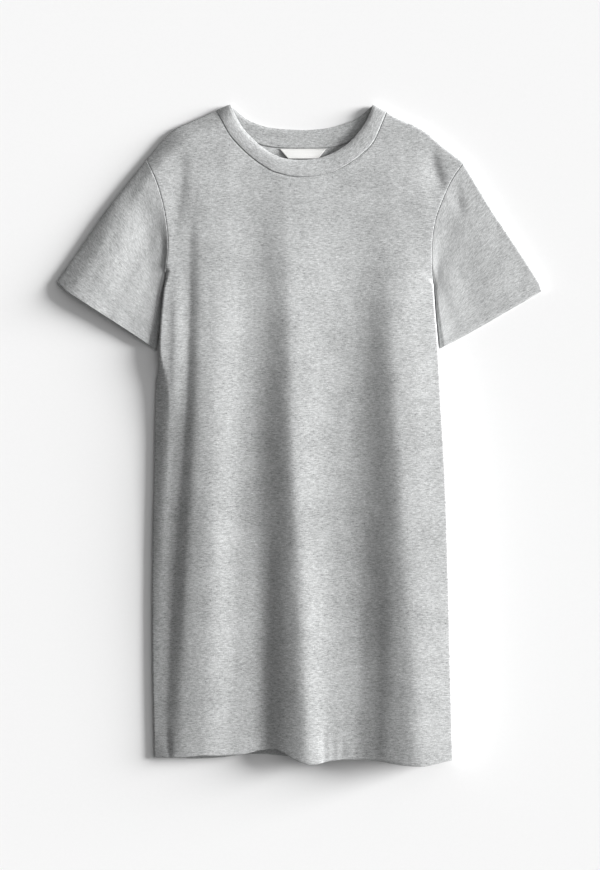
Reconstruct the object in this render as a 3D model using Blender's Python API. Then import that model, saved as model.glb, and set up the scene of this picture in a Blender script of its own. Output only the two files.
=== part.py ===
"""Short-sleeved jersey T-shirt dress, laid out flat with its front up.

Every panel is a real wall of cloth worked out from the outline of the laid garment, seen from above,
and from the heights of its folds. Tables are in millimetres: x to the right, y up the garment towards
the neck, z up from the surface it lies on. The part's origin is under the middle of its outline.
"""

import math
from typing import NamedTuple

import bmesh
import bpy
import numpy as np

MM = 0.001

# Driving sizes of the cloth
CLOTH = 1.5            # wall of the jersey panels
BAND = 2.4             # wall of the doubled neckband
LABEL = 1.0            # wall of the folded woven label
GAP = 0.3              # clearance between pieces along a seam
SEAM_HEIGHT = 4.0      # height of the side and shoulder seams above the surface
BACK_LEVEL = CLOTH / 2
BACK_ROLL = 5.0        # width over which the flat back rises to a side seam
LEFT_SHOULDER_ROLL = 14.0    # the same for the front, at the left shoulder seam
RIGHT_SHOULDER_ROLL = 8.0    # at the right one
LEFT_ROLL = 15.0       # at the left side seam
RIGHT_ROLL = 4.5       # at the right one, where the cloth drops more steeply
ARMPIT_ROLL = 34.0     # where an armhole sinks into the armpit
SLEEVE_ROLL = 15.0     # along a sleeve's folds
NECK_ROLL = 12.0       # where the neckband turns over the shoulder
SEAM_BLEND = 40.0      # length over which a sleeve leaves the height of its armhole
CUFF_SHOW = 2.4        # how far a sleeve's under layer shows past its upper hem

# Spacing of the wall's stations
EDGE_STEPS = (0.0, 1.0, 3.5, 8.0, 14.0)
ARMPIT_STEPS = (0.0, 4.0, 9.0, 15.0, 22.0, 32.0)
SHOULDER_SPANS = 9
FRONT_NECK_SPANS = 26
BACK_NECK_SPANS = 16
LENGTH_SPANS = 20
ARMHOLE_SPANS = 14
BACK_LENGTH_SPANS = 6
BACK_SHOULDER_SPANS = 4
BACK_ARMHOLE_SPANS = 9
SLEEVE_RINGS = 9
CHEST_BESIDE_NECK = 42.0   # width at the armpits of the columns that run up to a shoulder seam
NECK_EVEN_COLUMNS = 3      # columns over which the rows under the neckline become even
ARMHOLE_REACH = 9          # how fast the armholes' bend fades across the panel


class Side(NamedTuple):
    """Where the two side seams lie at one height up the garment."""

    y: float
    left: float
    right: float


class Hem(NamedTuple):
    """Lower edges of the two panels at one place across."""

    x: float
    front: float
    back: float


class Point(NamedTuple):
    """One point of an outline, seen from above."""

    x: float
    y: float


class FoldRow(NamedTuple):
    """Places across and heights of the long folds at one height up the garment."""

    y: float
    bulge: float
    crease: float
    crest_1: float
    valley_1: float
    crest_2: float
    valley_2: float
    crest_3: float
    edge_z: float
    bulge_z: float
    crease_z: float
    crest_1_z: float
    valley_1_z: float
    crest_2_z: float
    valley_2_z: float
    crest_3_z: float
    right_z: float


class SleeveRow(NamedTuple):
    """Heights across a sleeve's upper layer, outer fold to underarm, at a share of its length."""

    along: float
    outer: float
    ridge: float
    middle: float
    inner: float
    underarm: float


SIDES = (
    Side(-433.0, -195.0, 204.3),
    Side(-300.0, -197.5, 201.0),
    Side(-170.0, -197.3, 197.8),
    Side(-62.0, -195.0, 194.3),
    Side(45.0, -193.2, 188.6),
    Side(110.0, -190.0, 185.2),
    Side(165.0, -186.4, 180.9),
    Side(208.0, -181.4, 177.9),
)
LEFT_ARMPIT = Point(-180.6, 215.0)
RIGHT_ARMPIT = Point(178.0, 202.0)

HEMS = (
    Hem(-195.0, -433.4, -433.4),
    Hem(-163.5, -433.0, -434.6),
    Hem(-133.2, -430.1, -435.2),
    Hem(-104.5, -429.7, -433.6),
    Hem(-72.4, -427.5, -429.6),
    Hem(-49.6, -422.4, -429.4),
    Hem(-26.8, -422.0, -430.9),
    Hem(-12.6, -430.8, -432.4),
    Hem(4.0, -438.4, -433.6),
    Hem(16.1, -440.2, -434.0),
    Hem(40.2, -435.2, -433.0),
    Hem(78.5, -433.2, -431.0),
    Hem(105.9, -435.1, -432.5),
    Hem(135.3, -439.5, -434.0),
    Hem(168.8, -439.9, -434.0),
    Hem(183.6, -436.6, -433.0),
    Hem(204.4, -431.7, -431.7),
)

# Each line runs from the sleeve end towards the neck, then each armhole from armpit to shoulder
LEFT_SHOULDER = (
    Point(-205.0, 365.8),
    Point(-182.2, 392.6),
    Point(-169.8, 404.4),
    Point(-157.5, 411.6),
    Point(-141.1, 418.4),
    Point(-111.6, 431.6),
)
RIGHT_SHOULDER = (
    Point(218.8, 362.5),
    Point(191.1, 384.4),
    Point(168.8, 403.2),
    Point(147.8, 414.3),
    Point(127.7, 423.0),
    Point(116.0, 430.5),
)
LEFT_ARMHOLE = (
    LEFT_ARMPIT,
    Point(-176.6, 243.0),
    Point(-177.2, 270.3),
    Point(-182.6, 304.4),
    Point(-192.4, 337.6),
    LEFT_SHOULDER[0],
)
RIGHT_ARMHOLE = (
    RIGHT_ARMPIT,
    Point(176.4, 225.0),
    Point(177.2, 259.3),
    Point(181.8, 287.4),
    Point(189.6, 309.5),
    Point(202.3, 337.7),
    RIGHT_SHOULDER[0],
)

# The neckline seam and the folded edge of the neckband, each from the left neck point to the right one
FRONT_NECK_SEAM = (
    Point(-111.6, 431.6),
    Point(-95.1, 400.8),
    Point(-79.1, 382.0),
    Point(-62.3, 367.0),
    Point(-45.6, 355.4),
    Point(-29.5, 347.6),
    Point(1.3, 342.4),
    Point(40.2, 348.2),
    Point(71.0, 364.6),
    Point(88.4, 379.2),
    Point(99.8, 393.0),
    Point(116.0, 430.5),
)
FRONT_BAND_EDGE = (
    Point(-93.1, 439.8),
    Point(-86.5, 425.8),
    Point(-78.0, 410.7),
    Point(-67.0, 397.6),
    Point(-53.6, 385.3),
    Point(-37.5, 373.9),
    Point(-18.8, 367.4),
    Point(2.7, 365.8),
    Point(24.1, 368.0),
    Point(44.2, 375.2),
    Point(63.0, 387.0),
    Point(79.1, 404.0),
    Point(89.8, 420.3),
    Point(97.8, 439.8),
)
BACK_NECK_SEAM = (
    Point(-111.6, 431.6),
    Point(-88.0, 406.5),
    Point(-56.3, 387.9),
    Point(-29.5, 382.6),
    Point(3.4, 381.8),
    Point(36.2, 382.6),
    Point(62.0, 388.4),
    Point(92.0, 407.0),
    Point(116.0, 430.5),
)
BACK_BAND_EDGE = (
    Point(-93.1, 439.8),
    Point(-72.4, 422.0),
    Point(-53.6, 413.4),
    Point(-33.5, 408.9),
    Point(3.0, 406.6),
    Point(36.2, 409.0),
    Point(56.3, 414.0),
    Point(77.2, 422.4),
    Point(97.8, 439.8),
)

# Sleeve outlines: the outer fold from the shoulder down, and the hem from the outer fold inwards
LEFT_SLEEVE_FOLD = (
    LEFT_SHOULDER[0],
    Point(-227.3, 338.3),
    Point(-260.0, 296.6),
    Point(-291.3, 251.0),
    Point(-320.4, 209.0),
    Point(-324.6, 201.7),
)
LEFT_SLEEVE_HEM = (
    Point(-324.6, 201.7),
    Point(-310.9, 189.3),
    Point(-287.4, 173.8),
    Point(-246.6, 147.6),
    Point(-210.4, 124.0),
    Point(-192.6, 110.6),
)
RIGHT_SLEEVE_FOLD = (
    RIGHT_SHOULDER[0],
    Point(231.0, 341.4),
    Point(255.5, 301.3),
    Point(287.2, 253.7),
    Point(318.2, 205.8),
    Point(324.6, 191.0),
)
RIGHT_SLEEVE_HEM = (
    Point(324.6, 191.0),
    Point(282.7, 168.6),
    Point(260.8, 156.3),
    Point(224.8, 135.3),
    Point(187.8, 113.6),
)

# The folds of the front, from the hem up: three long ridges that fade out below the chest
FRONT_FOLDS = (
    FoldRow(-434.0, -191.6, -182.0, -126.0, -85.8, 13.0, 44.0, 156.0,
            6.0, 6.6, 6.4, 14.0, 12.2, 27.5, 24.5, 36.0, 31.0),
    FoldRow(-357.1, -191.0, -179.0, -122.0, -84.0, 9.0, 39.5, 155.0,
            6.2, 7.0, 6.8, 15.2, 13.0, 28.5, 25.5, 36.0, 31.0),
    FoldRow(-196.3, -187.6, -168.0, -119.0, -79.7, 2.0, 44.5, 143.0,
            6.5, 8.0, 8.0, 18.2, 15.2, 28.2, 24.6, 36.0, 31.0),
    FoldRow(-35.5, -180.0, -160.4, -117.2, -74.4, -7.4, 50.2, 134.0,
            6.8, 9.6, 9.0, 18.5, 15.5, 27.0, 23.0, 34.0, 30.0),
    FoldRow(125.3, -170.8, -150.0, -117.2, -69.0, -12.7, 57.0, 125.3,
            11.5, 13.0, 11.4, 16.0, 13.5, 19.4, 16.0, 23.0, 18.0),
    FoldRow(259.3, -164.1, -145.0, -112.2, -68.3, -17.8, 72.0, 122.6,
            11.0, 11.6, 9.8, 12.5, 11.6, 13.6, 11.4, 12.6, 10.0),
    FoldRow(326.3, -160.0, -142.0, -106.0, -70.0, -12.0, 70.0, 128.0,
            9.6, 10.2, 9.4, 10.8, 10.2, 11.0, 9.6, 10.4, 9.2),
    FoldRow(432.0, -160.0, -142.0, -112.0, -60.0, 0.0, 60.0, 120.0,
            9.5, 9.8, 9.6, 9.8, 9.4, 9.2, 8.2, 7.6, 7.0),
)
FOLD_REACH_LEFT = -215.0
FOLD_REACH_RIGHT = 225.0

LEFT_SLEEVE_ROWS = (
    SleeveRow(0.0, 9.0, 9.6, 9.0, 8.4, 7.6),
    SleeveRow(0.35, 10.5, 13.0, 11.0, 8.2, 7.4),
    SleeveRow(0.7, 10.0, 13.5, 10.5, 7.8, 6.8),
    SleeveRow(1.0, 9.5, 13.0, 10.2, 7.6, 6.6),
)
RIGHT_SLEEVE_ROWS = (
    SleeveRow(0.0, 8.6, 8.9, 8.7, 8.4, 8.2),
    SleeveRow(0.35, 8.6, 9.2, 8.6, 7.8, 7.6),
    SleeveRow(0.7, 8.4, 9.2, 8.6, 7.6, 7.4),
    SleeveRow(1.0, 8.4, 9.0, 8.5, 7.6, 7.4),
)
SLEEVE_SHARES = (0.0, 0.3, 0.55, 0.8, 1.0)
LEFT_TUCK = 9.0        # depth of the hollow beside the body at the left cuff
RIGHT_TUCK = 0.0       # none on the right, where the upper layer lies close
TUCK_STEPS = (0.0, 1.5, 5.0, 12.0)
TUCK_LEAST = 3.0       # below this the hollow is left out
FLAP_RISE = 0.8        # how far the cloth stands above the underarm seam in that hollow
FLAP_ROLL = 4.0
UNDERARM_CLEAR = 2.0   # clearance of a sleeve's underarm fold from the body's outline
UNDERARM_LEVELS = (190.0, 165.0, 138.0)

FRONT_BAND_LEFT = 9.6      # height of the band's front edge near the left neck point
FRONT_BAND_RIGHT = 7.6     # the same near the right one
BAND_STATIONS = (0.0, 0.4, 0.75, 0.93, 0.985)
BAND_FULLNESS = (1.0, 1.0, 1.0, 0.8, 0.42)

LABEL_TOP_Y = 381.2
LABEL_BOTTOM_Y = 367.6
LABEL_TOP = (-27.5, 35.0)
LABEL_BOTTOM = (-16.0, 24.6)
LABEL_LIFT = 2.2

JERSEY = ("heather_jersey", (0.42, 0.43, 0.43, 1.0), 0.95)
RIB = ("heather_band", (0.41, 0.42, 0.42, 1.0), 0.95)
SATIN = ("white_label", (0.80, 0.80, 0.78, 1.0), 0.55)


# Curves

def smooth_path(points, shares):
    """Points at the given shares of the length of a smooth curve through the outline's points."""
    knots = np.array(points, float)
    padded = np.vstack([2 * knots[0] - knots[1], knots, 2 * knots[-1] - knots[-2]])
    t = np.linspace(0, 1, 24, endpoint=False)[:, None]
    spans = []
    for a, b, c, d in zip(padded, padded[1:], padded[2:], padded[3:]):
        spans.append(0.5 * (2 * b + (c - a) * t + (2 * a - 5 * b + 4 * c - d) * t ** 2
                            + (3 * b - a - 3 * c + d) * t ** 3))
    dense = np.vstack(spans + [knots[-1:]])
    steps = np.linalg.norm(np.diff(dense, axis=0), axis=1)
    length = np.concatenate([[0.0], np.cumsum(steps)])
    wanted = np.asarray(shares) * length[-1]
    return np.stack([np.interp(wanted, length, dense[:, k]) for k in range(2)], axis=1)


def path_length(points):
    """Length of the smooth curve through an outline's points."""
    dense = smooth_path(points, np.linspace(0, 1, 200))
    return np.linalg.norm(np.diff(dense, axis=0), axis=1).sum()


def smooth_column(rows, key, column, at):
    """A table's column read at a place between its rows, with no corner at a row."""
    places = np.array([getattr(row, key) for row in rows])
    values = np.array([getattr(row, column) for row in rows])
    slopes = np.gradient(values, places)
    at = np.clip(at, places[0], places[-1])
    k = min(int(np.searchsorted(places, at, side="right")) - 1, len(places) - 2)
    width = places[k + 1] - places[k]
    t = (at - places[k]) / width
    return ((2 * t ** 3 - 3 * t ** 2 + 1) * values[k] + (t ** 3 - 2 * t ** 2 + t) * width * slopes[k]
            + (3 * t ** 2 - 2 * t ** 3) * values[k + 1] + (t ** 3 - t ** 2) * width * slopes[k + 1])


def ease(t):
    """A smooth step from 0 to 1."""
    t = np.clip(t, 0.0, 1.0)
    return t * t * (3 - 2 * t)


def roll(distance, radius):
    """Share of its full height that rounded cloth has reached at a distance from its folded edge."""
    t = np.clip(np.asarray(distance) / radius, 0.0, 1.0)
    return np.sqrt(1.0 - (1.0 - t) ** 2)


def through_knots(places, heights, at):
    """Height between knots that are all tops or bottoms, so it is level at each."""
    k = min(max(int(np.searchsorted(places, at)) - 1, 0), len(places) - 2)
    t = ease((at - places[k]) / (places[k + 1] - places[k]))
    return heights[k] + (heights[k + 1] - heights[k]) * t


# Stations along edges

def stations(length, spans, start=EDGE_STEPS, end=EDGE_STEPS):
    """Shares of a length: fine steps at its ends and even spans between them."""
    first = [step / length for step in start]
    last = [1.0 - step / length for step in reversed(end)]
    middle_spans = spans - (len(first) - 1) - (len(last) - 1)
    middle = np.linspace(first[-1], last[0], middle_spans + 1)[1:-1]
    return np.array(first + list(middle) + last)


def side_line(which):
    """A side seam from hem to armpit, as outline points of the wall's middle."""
    inward = CLOTH / 2 if which == "left" else -CLOTH / 2
    points = [Point(getattr(row, which) + inward, row.y) for row in SIDES]
    return points + [LEFT_ARMPIT if which == "left" else RIGHT_ARMPIT]


FOLDED_EDGES = {
    "left_side": (side_line("left"), LEFT_ROLL, ARMPIT_ROLL, LEFT_ARMPIT.y),
    "right_side": (side_line("right"), RIGHT_ROLL, ARMPIT_ROLL, RIGHT_ARMPIT.y),
    "left_shoulder": (LEFT_SHOULDER, LEFT_SHOULDER_ROLL, LEFT_SHOULDER_ROLL, 0.0),
    "right_shoulder": (RIGHT_SHOULDER, RIGHT_SHOULDER_ROLL, RIGHT_SHOULDER_ROLL, 0.0),
}
DENSE_EDGES = {name: smooth_path(row[0], np.linspace(0, 1, 400)) for name, row in FOLDED_EDGES.items()}


def edge_distance(name, x, y):
    """Distance, seen from above, from a point to one of the body's folded edges."""
    dense = DENSE_EDGES[name]
    start = dense[:-1]
    run = dense[1:] - start
    offset = np.array([x, y]) - start
    t = np.clip((offset * run).sum(1) / (run * run).sum(1), 0.0, 1.0)
    return np.linalg.norm(offset - run * t[:, None], axis=1).min()


def front_height(x, y):
    """Height of the middle of the front's wall."""
    names = ("bulge", "crease", "crest_1", "valley_1", "crest_2", "valley_2", "crest_3")
    places = [smooth_column(FRONT_FOLDS, "y", name, y) for name in names]
    tops = [smooth_column(FRONT_FOLDS, "y", name + "_z", y) for name in names]
    places = [FOLD_REACH_LEFT] + places + [FOLD_REACH_RIGHT]
    tops = ([smooth_column(FRONT_FOLDS, "y", "edge_z", y)] + tops
            + [smooth_column(FRONT_FOLDS, "y", "right_z", y)])
    full = through_knots(places, tops, x)
    share = 1.0
    for name, (_, near, far, armpit) in FOLDED_EDGES.items():
        radius = near + (far - near) * ease((y - armpit) / 20.0)
        share = min(share, float(roll(edge_distance(name, x, y), radius)))
    return SEAM_HEIGHT + (full - SEAM_HEIGHT) * share


def back_height(x, y):
    """Height of the middle of the back's wall: flat, and rising to the folded edges."""
    share = min(float(roll(edge_distance(name, x, y), BACK_ROLL)) for name in FOLDED_EDGES)
    return SEAM_HEIGHT - (SEAM_HEIGHT - BACK_LEVEL) * share


# Seams

class SeamRing(NamedTuple):
    """A sewn ring: its points, the level direction across it and the direction through the wall."""

    points: np.ndarray
    across: np.ndarray
    wall: np.ndarray


def unit(vectors):
    """Vectors at length one."""
    return vectors / np.linalg.norm(vectors, axis=-1, keepdims=True)


def level_across(points, side):
    """Level direction square to an open line, to its left where side is 1."""
    run = unit(np.gradient(points[:, :2], axis=0))
    return np.stack([-run[:, 1] * side, run[:, 0] * side, np.zeros(len(run))], axis=1)


def ring_of(upper, lower, side):
    """A seam that runs along the upper layer and back along the lower one, joined at both folds."""
    points = np.vstack([upper, lower[-2:0:-1]])
    across = np.vstack([level_across(upper, side), level_across(lower, side)[-2:0:-1]])
    travel = np.roll(points, -1, axis=0) - np.roll(points, 1, axis=0)
    wall = unit(np.cross(travel, across))
    if wall[len(upper) // 2, 2] < 0:
        wall = -wall
    return SeamRing(points, across, wall)


def split_ring(ring, upper_count):
    """The upper and lower halves of a ring, both from its first fold to its second."""
    upper = np.arange(upper_count)
    lower = np.concatenate([[0], np.arange(len(ring.points) - 1, upper_count - 1, -1), [upper_count - 1]])
    return (SeamRing(*(part[upper] for part in ring)), SeamRing(*(part[lower] for part in ring)))


def raised(plan, height):
    """Points seen from above, each given its height."""
    return np.array([[x, y, height(x, y)] for x, y in plan])


def raised_grid(plan, height):
    """A grid of points seen from above, each given its height."""
    return np.array([raised(row, height) for row in plan])


# Bodies

def new_body(name, vertices, faces, finish):
    """One closed, smooth-shaded object in its own finish, from points in millimetres."""
    mesh = bpy.data.meshes.new(name)
    mesh.from_pydata([tuple(MM * value for value in point) for point in vertices], [], faces)
    work = bmesh.new()
    work.from_mesh(mesh)
    bmesh.ops.recalc_face_normals(work, faces=work.faces)
    work.to_mesh(mesh)
    work.free()
    mesh.shade_smooth()
    mesh.set_sharp_from_angle(angle=math.radians(50))
    item = bpy.data.objects.new(name, mesh)
    bpy.context.scene.collection.objects.link(item)
    mesh.materials.append(finish_of(*finish))
    return item


def finish_of(name, colour, roughness):
    """The finish with this name, made once."""
    material = bpy.data.materials.get(name)
    if material:
        return material
    material = bpy.data.materials.new(name)
    material.use_nodes = True
    shader = material.node_tree.nodes["Principled BSDF"]
    shader.inputs["Base Color"].default_value = colour
    shader.inputs["Roughness"].default_value = roughness
    shader.inputs["Metallic"].default_value = 0.0
    return material


def grid_faces(rows, columns, start, looped):
    """Quads of a grid of points that are numbered row by row."""
    faces = []
    spans = columns if looped else columns - 1
    for j in range(rows - 1):
        for i in range(spans):
            right = (i + 1) % columns
            faces.append((start + j * columns + i, start + j * columns + right,
                          start + (j + 1) * columns + right, start + (j + 1) * columns + i))
    return faces


def wall_body(name, middle, wall, thickness, finish, looped=False):
    """A wall of even thickness about a grid of middle points, closed round its rims."""
    rows, columns, _ = middle.shape
    outer = (middle + wall * thickness / 2).reshape(-1, 3)
    inner = (middle - wall * thickness / 2).reshape(-1, 3)
    count = len(outer)
    faces = grid_faces(rows, columns, 0, looped)
    faces += [tuple(reversed(face)) for face in grid_faces(rows, columns, count, looped)]
    for j in (0, rows - 1):
        row = [j * columns + i for i in range(columns)]
        if looped:
            row.append(row[0])
        faces += [(b, a, a + count, b + count) for a, b in zip(row, row[1:])]
    if not looped:
        for i in (0, columns - 1):
            column = [j * columns + i for j in range(rows)]
            faces += [(a, b, b + count, a + count) for a, b in zip(column, column[1:])]
    return new_body(name, np.vstack([outer, inner]), faces, finish)


def grid_walls(middle, looped=False):
    """Direction through the wall at each point of a grid."""
    along = np.gradient(middle, axis=0)
    if looped:
        across = np.roll(middle, -1, axis=1) - np.roll(middle, 1, axis=1)
    else:
        across = np.gradient(middle, axis=1)
    return unit(np.cross(across, along))


def coons(left, right, bottom, top, reach=1, even=None):
    """Plan points between four edges: left and right run up, bottom and top run across.

    A higher reach keeps the bends of the side edges nearer to them. Where even is given, it is the
    share by which each column spaces its rows evenly and not as the side edges do.
    """
    def shares(line):
        steps = np.linalg.norm(np.diff(line, axis=0), axis=1)
        length = np.concatenate([[0.0], np.cumsum(steps)])
        return length / length[-1]

    u = ((shares(bottom) + shares(top)) / 2)[None, :, None]
    v = ((shares(left) + shares(right)) / 2)[:, None, None]
    left_bend = left[:, None] - ((1 - v) * bottom[0] + v * top[0])
    right_bend = right[:, None] - ((1 - v) * bottom[-1] + v * top[-1])
    if even is not None:
        v = v * (1 - even[None, :, None]) + np.linspace(0, 1, len(left))[:, None, None] * even[None, :, None]
    ruled = (1 - v) * bottom[None] + v * top[None]
    return ruled + (1 - u) ** reach * left_bend + u ** reach * right_bend


# Armholes and neckline, which the panels, sleeves and neckband share

def armhole_seam(armhole, side):
    """The ring round one armhole, from the shoulder down the front and up the back."""
    length = path_length(armhole)
    line = tuple(reversed(armhole))
    upper = smooth_path(line, stations(length, ARMHOLE_SPANS, EDGE_STEPS, ARMPIT_STEPS))
    lower = smooth_path(line, stations(length, BACK_ARMHOLE_SPANS, EDGE_STEPS[:3], ARMPIT_STEPS[:3]))
    return ring_of(raised(upper, front_height), raised(lower, back_height), side)


def neck_seam():
    """The ring round the neckline, along the front and back along the back."""
    upper = smooth_path(FRONT_NECK_SEAM, stations(path_length(FRONT_NECK_SEAM), FRONT_NECK_SPANS))
    lower = smooth_path(BACK_NECK_SEAM, stations(path_length(BACK_NECK_SEAM), BACK_NECK_SPANS))
    return ring_of(raised(upper, front_height), raised(lower, back_height), -1)


# Body panels

def set_folded_edge(points, walls, chosen, layer):
    """Put a folded edge at seam height, just clear of the other panel, with its wall facing outwards."""
    run = unit(np.gradient(points[:, :2], axis=0))
    outward = np.stack([-run[:, 1], run[:, 0], np.zeros(len(run))], axis=1)
    outward *= np.sign((outward * points).sum(1))[:, None]
    points[chosen, 2] = SEAM_HEIGHT + layer * GAP / 2
    walls[chosen] = outward[chosen] * layer


def set_seam(points, walls, seam, layer):
    """Put a panel's edge on its seam, half a gap inside it, with the wall that both pieces share."""
    points[:] = seam.points + seam.across * GAP / 2
    points[[0, -1], 2] = SEAM_HEIGHT + layer * GAP / 2
    walls[:] = seam.wall * layer


def body_panel(name, height, layer, neck, armholes, hem_column, length_spans, shoulder_spans):
    """The front (layer 1) or the back (layer -1): a grid from hem to armpits and on to the neck."""
    edge = EDGE_STEPS if layer > 0 else EDGE_STEPS[:3]
    left_arm, right_arm = (SeamRing(*(part[::-1] for part in arm)) for arm in armholes)

    def shoulder(line):
        return smooth_path(line, stations(path_length(line), shoulder_spans, edge, (0.0,)))

    top = np.vstack([shoulder(LEFT_SHOULDER), neck.points[1:-1, :2], shoulder(RIGHT_SHOULDER)[::-1]])
    first_neck = shoulder_spans
    last_neck = len(top) - 1 - shoulder_spans
    width = RIGHT_ARMPIT.x - LEFT_ARMPIT.x
    beside_neck = stations(CHEST_BESIDE_NECK, shoulder_spans, edge, (0.0,)) * CHEST_BESIDE_NECK / width
    below_neck = np.linspace(beside_neck[-1], 1 - beside_neck[-1], last_neck - first_neck + 1)
    share = np.concatenate([beside_neck, below_neck[1:-1], 1 - beside_neck[::-1]])[:, None]
    chest = (1 - share) * np.array(LEFT_ARMPIT) + share * np.array(RIGHT_ARMPIT)
    up = np.linspace(0, 1, length_spans + 1)
    left = smooth_path(side_line("left"), up)
    right = smooth_path(side_line("right"), up)
    hem_x = left[0, 0] + share[:, 0] * (right[0, 0] - left[0, 0])
    hem = np.array([[x, smooth_column(HEMS, "x", hem_column, x)] for x in hem_x])
    left[0] = hem[0]
    right[0] = hem[-1]
    lower = coons(left, right, hem, chest)
    column = np.arange(len(top))
    even = ease(np.minimum(column - first_neck, last_neck - column) / NECK_EVEN_COLUMNS)
    upper = coons(left_arm.points[:, :2], right_arm.points[:, :2], chest, top, ARMHOLE_REACH, even)

    middle = raised_grid(np.vstack([lower[:-1], upper]), height)
    wall = grid_walls(middle)
    below_arm = slice(0, length_spans)
    set_folded_edge(middle[:, 0], wall[:, 0], below_arm, layer)
    set_folded_edge(middle[:, -1], wall[:, -1], below_arm, layer)
    set_folded_edge(middle[-1], wall[-1], slice(1, first_neck), layer)
    set_folded_edge(middle[-1], wall[-1], slice(last_neck + 1, len(top) - 1), layer)
    set_seam(middle[length_spans:, 0], wall[length_spans:, 0], left_arm, layer)
    set_seam(middle[length_spans:, -1], wall[length_spans:, -1], right_arm, layer)
    neck_row = slice(first_neck, last_neck + 1)
    set_seam(middle[-1, neck_row], wall[-1, neck_row], neck, layer)
    return wall_body(name, middle, wall, CLOTH, JERSEY)


# Sleeves

def underarm_line(which, armpit, hem_end):
    """A sleeve's underarm fold, just clear of the body's side, from the armpit to the cuff."""
    outwards = -1 if which == "left" else 1
    clear = outwards * UNDERARM_CLEAR
    between = [Point(smooth_column(SIDES, "y", which, y) + clear, y) for y in UNDERARM_LEVELS]
    return [armpit] + between + [hem_end]


def sleeve(name, seam, upper_count, fold, underarm, hem, rows, tuck):
    """One sleeve: a tube of two layers, from its armhole to its open cuff."""
    along = np.linspace(0, 1, SLEEVE_RINGS + 1)
    fold_line = smooth_path(fold, along)
    underarm_edge = smooth_path(underarm, along)
    upper_half, lower_half = split_ring(seam, upper_count)
    width = path_length(hem)
    upper_hem = smooth_path(hem, stations(width, upper_count - 1, EDGE_STEPS, ARMPIT_STEPS))
    lower_hem = smooth_path(hem, stations(width, len(lower_half.points) - 1, EDGE_STEPS[:3],
                                          ARMPIT_STEPS[:3]))
    upper = coons(fold_line, underarm_edge, upper_half.points[:, :2], upper_hem)
    lower = coons(fold_line, underarm_edge, lower_half.points[:, :2], lower_hem)

    length = path_length(fold)
    outwards = unit(fold_line[-1] - fold_line[0])
    upper_rings = []
    lower_rings = []
    for ring, under, share in zip(upper, lower, along):
        tuck_here = tuck * share
        if tuck_here > TUCK_LEAST:
            steps = (0.0, tuck_here / 2) + tuple(tuck_here + step for step in TUCK_STEPS)
            ring = smooth_path(ring, stations(path_length(ring), upper_count - 1, EDGE_STEPS, steps))
        heights = [smooth_column(rows, "along", column, share) for column in SleeveRow._fields[1:]]
        blend = ease(share * length / SEAM_BLEND)
        own = [sleeve_height(point, ring, heights, tuck_here) for point in ring]
        level = upper_half.points[:, 2] * (1 - blend) + np.array(own) * blend
        upper_rings.append(np.column_stack([ring, level]))
        out = np.linalg.norm(under - under[0], axis=1)
        inner = np.linalg.norm(under - under[-1], axis=1)
        rise = np.minimum(roll(out, BACK_ROLL), roll(inner, BACK_ROLL))
        across = out / (out + inner)
        shown = CUFF_SHOW * share ** 2 * np.sin(math.pi * across)
        plan = under + shown[:, None] * outwards
        lower_rings.append(np.column_stack([plan, SEAM_HEIGHT - (SEAM_HEIGHT - BACK_LEVEL) * rise]))
    middle = np.array([np.vstack([a, b[-2:0:-1]]) for a, b in zip(upper_rings, lower_rings)])
    wall = grid_walls(middle, looped=True)
    if wall[1, upper_count // 2, 2] < 0:
        wall = -wall
    middle[0] = seam.points - seam.across * GAP / 2
    wall[0] = seam.wall
    return wall_body(name, middle, wall, CLOTH, JERSEY, looped=True)


def sleeve_height(point, ring, heights, tuck):
    """Height of a sleeve's upper layer at a point of one of its rings."""
    from_fold = np.linalg.norm(point - ring[0])
    from_underarm = np.linalg.norm(point - ring[-1])
    full = through_knots(SLEEVE_SHARES, heights, from_fold / (from_fold + from_underarm))
    if tuck < TUCK_LEAST:
        tuck = 0.0
    rise = FLAP_RISE if tuck else 0.0
    low = SEAM_HEIGHT + rise * min(roll(from_fold, FLAP_ROLL), roll(from_underarm, FLAP_ROLL))
    lift = min(roll(from_fold, SLEEVE_ROLL), roll(max(from_underarm - tuck, 0.0), SLEEVE_ROLL))
    return low + (full - low) * lift


# Neckband and label

def band_level(line, shares, top, bottom, radius):
    """Heights along half of the band's folded edge, which turns over at both neck points."""
    length = path_length(line)
    from_end = np.minimum(shares, 1 - shares) * length
    return bottom + (top - bottom) * roll(from_end, radius)


def neckband(seam, upper_count):
    """The doubled strip round the neck: one rounded section carried round the neckline."""
    front_shares = stations(path_length(FRONT_BAND_EDGE), FRONT_NECK_SPANS)
    front_top = FRONT_BAND_LEFT + (FRONT_BAND_RIGHT - FRONT_BAND_LEFT) * front_shares
    back_shares = stations(path_length(BACK_BAND_EDGE), BACK_NECK_SPANS)
    front = np.column_stack([
        smooth_path(FRONT_BAND_EDGE, front_shares),
        band_level(FRONT_BAND_EDGE, front_shares, front_top, SEAM_HEIGHT, NECK_ROLL)])
    back = np.column_stack([
        smooth_path(BACK_BAND_EDGE, back_shares),
        band_level(BACK_BAND_EDGE, back_shares, BAND / 2, SEAM_HEIGHT, BACK_ROLL)])
    edge = ring_of(front, back, -1)
    foot = seam.points - seam.across * GAP / 2
    foot[:, 2] = np.maximum(foot[:, 2], BAND / 2)

    outer = []
    inner = []
    for station, fullness in zip(BAND_STATIONS, BAND_FULLNESS):
        middle = foot + station * (edge.points - foot)
        through = seam.wall + station * (edge.wall - seam.wall)
        half = unit(through) * BAND / 2 * fullness
        outer.append(middle + half)
        inner.append(middle - half)
    section = np.array(outer + [edge.points] + inner[::-1])
    rows, columns, _ = section.shape
    closed = np.concatenate([section, section[:1]])
    faces = [tuple(v % (rows * columns) for v in face) for face in grid_faces(rows + 1, columns, 0, True)]
    return new_body("neckband", closed[:-1].reshape(-1, 3), faces, RIB)


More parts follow.
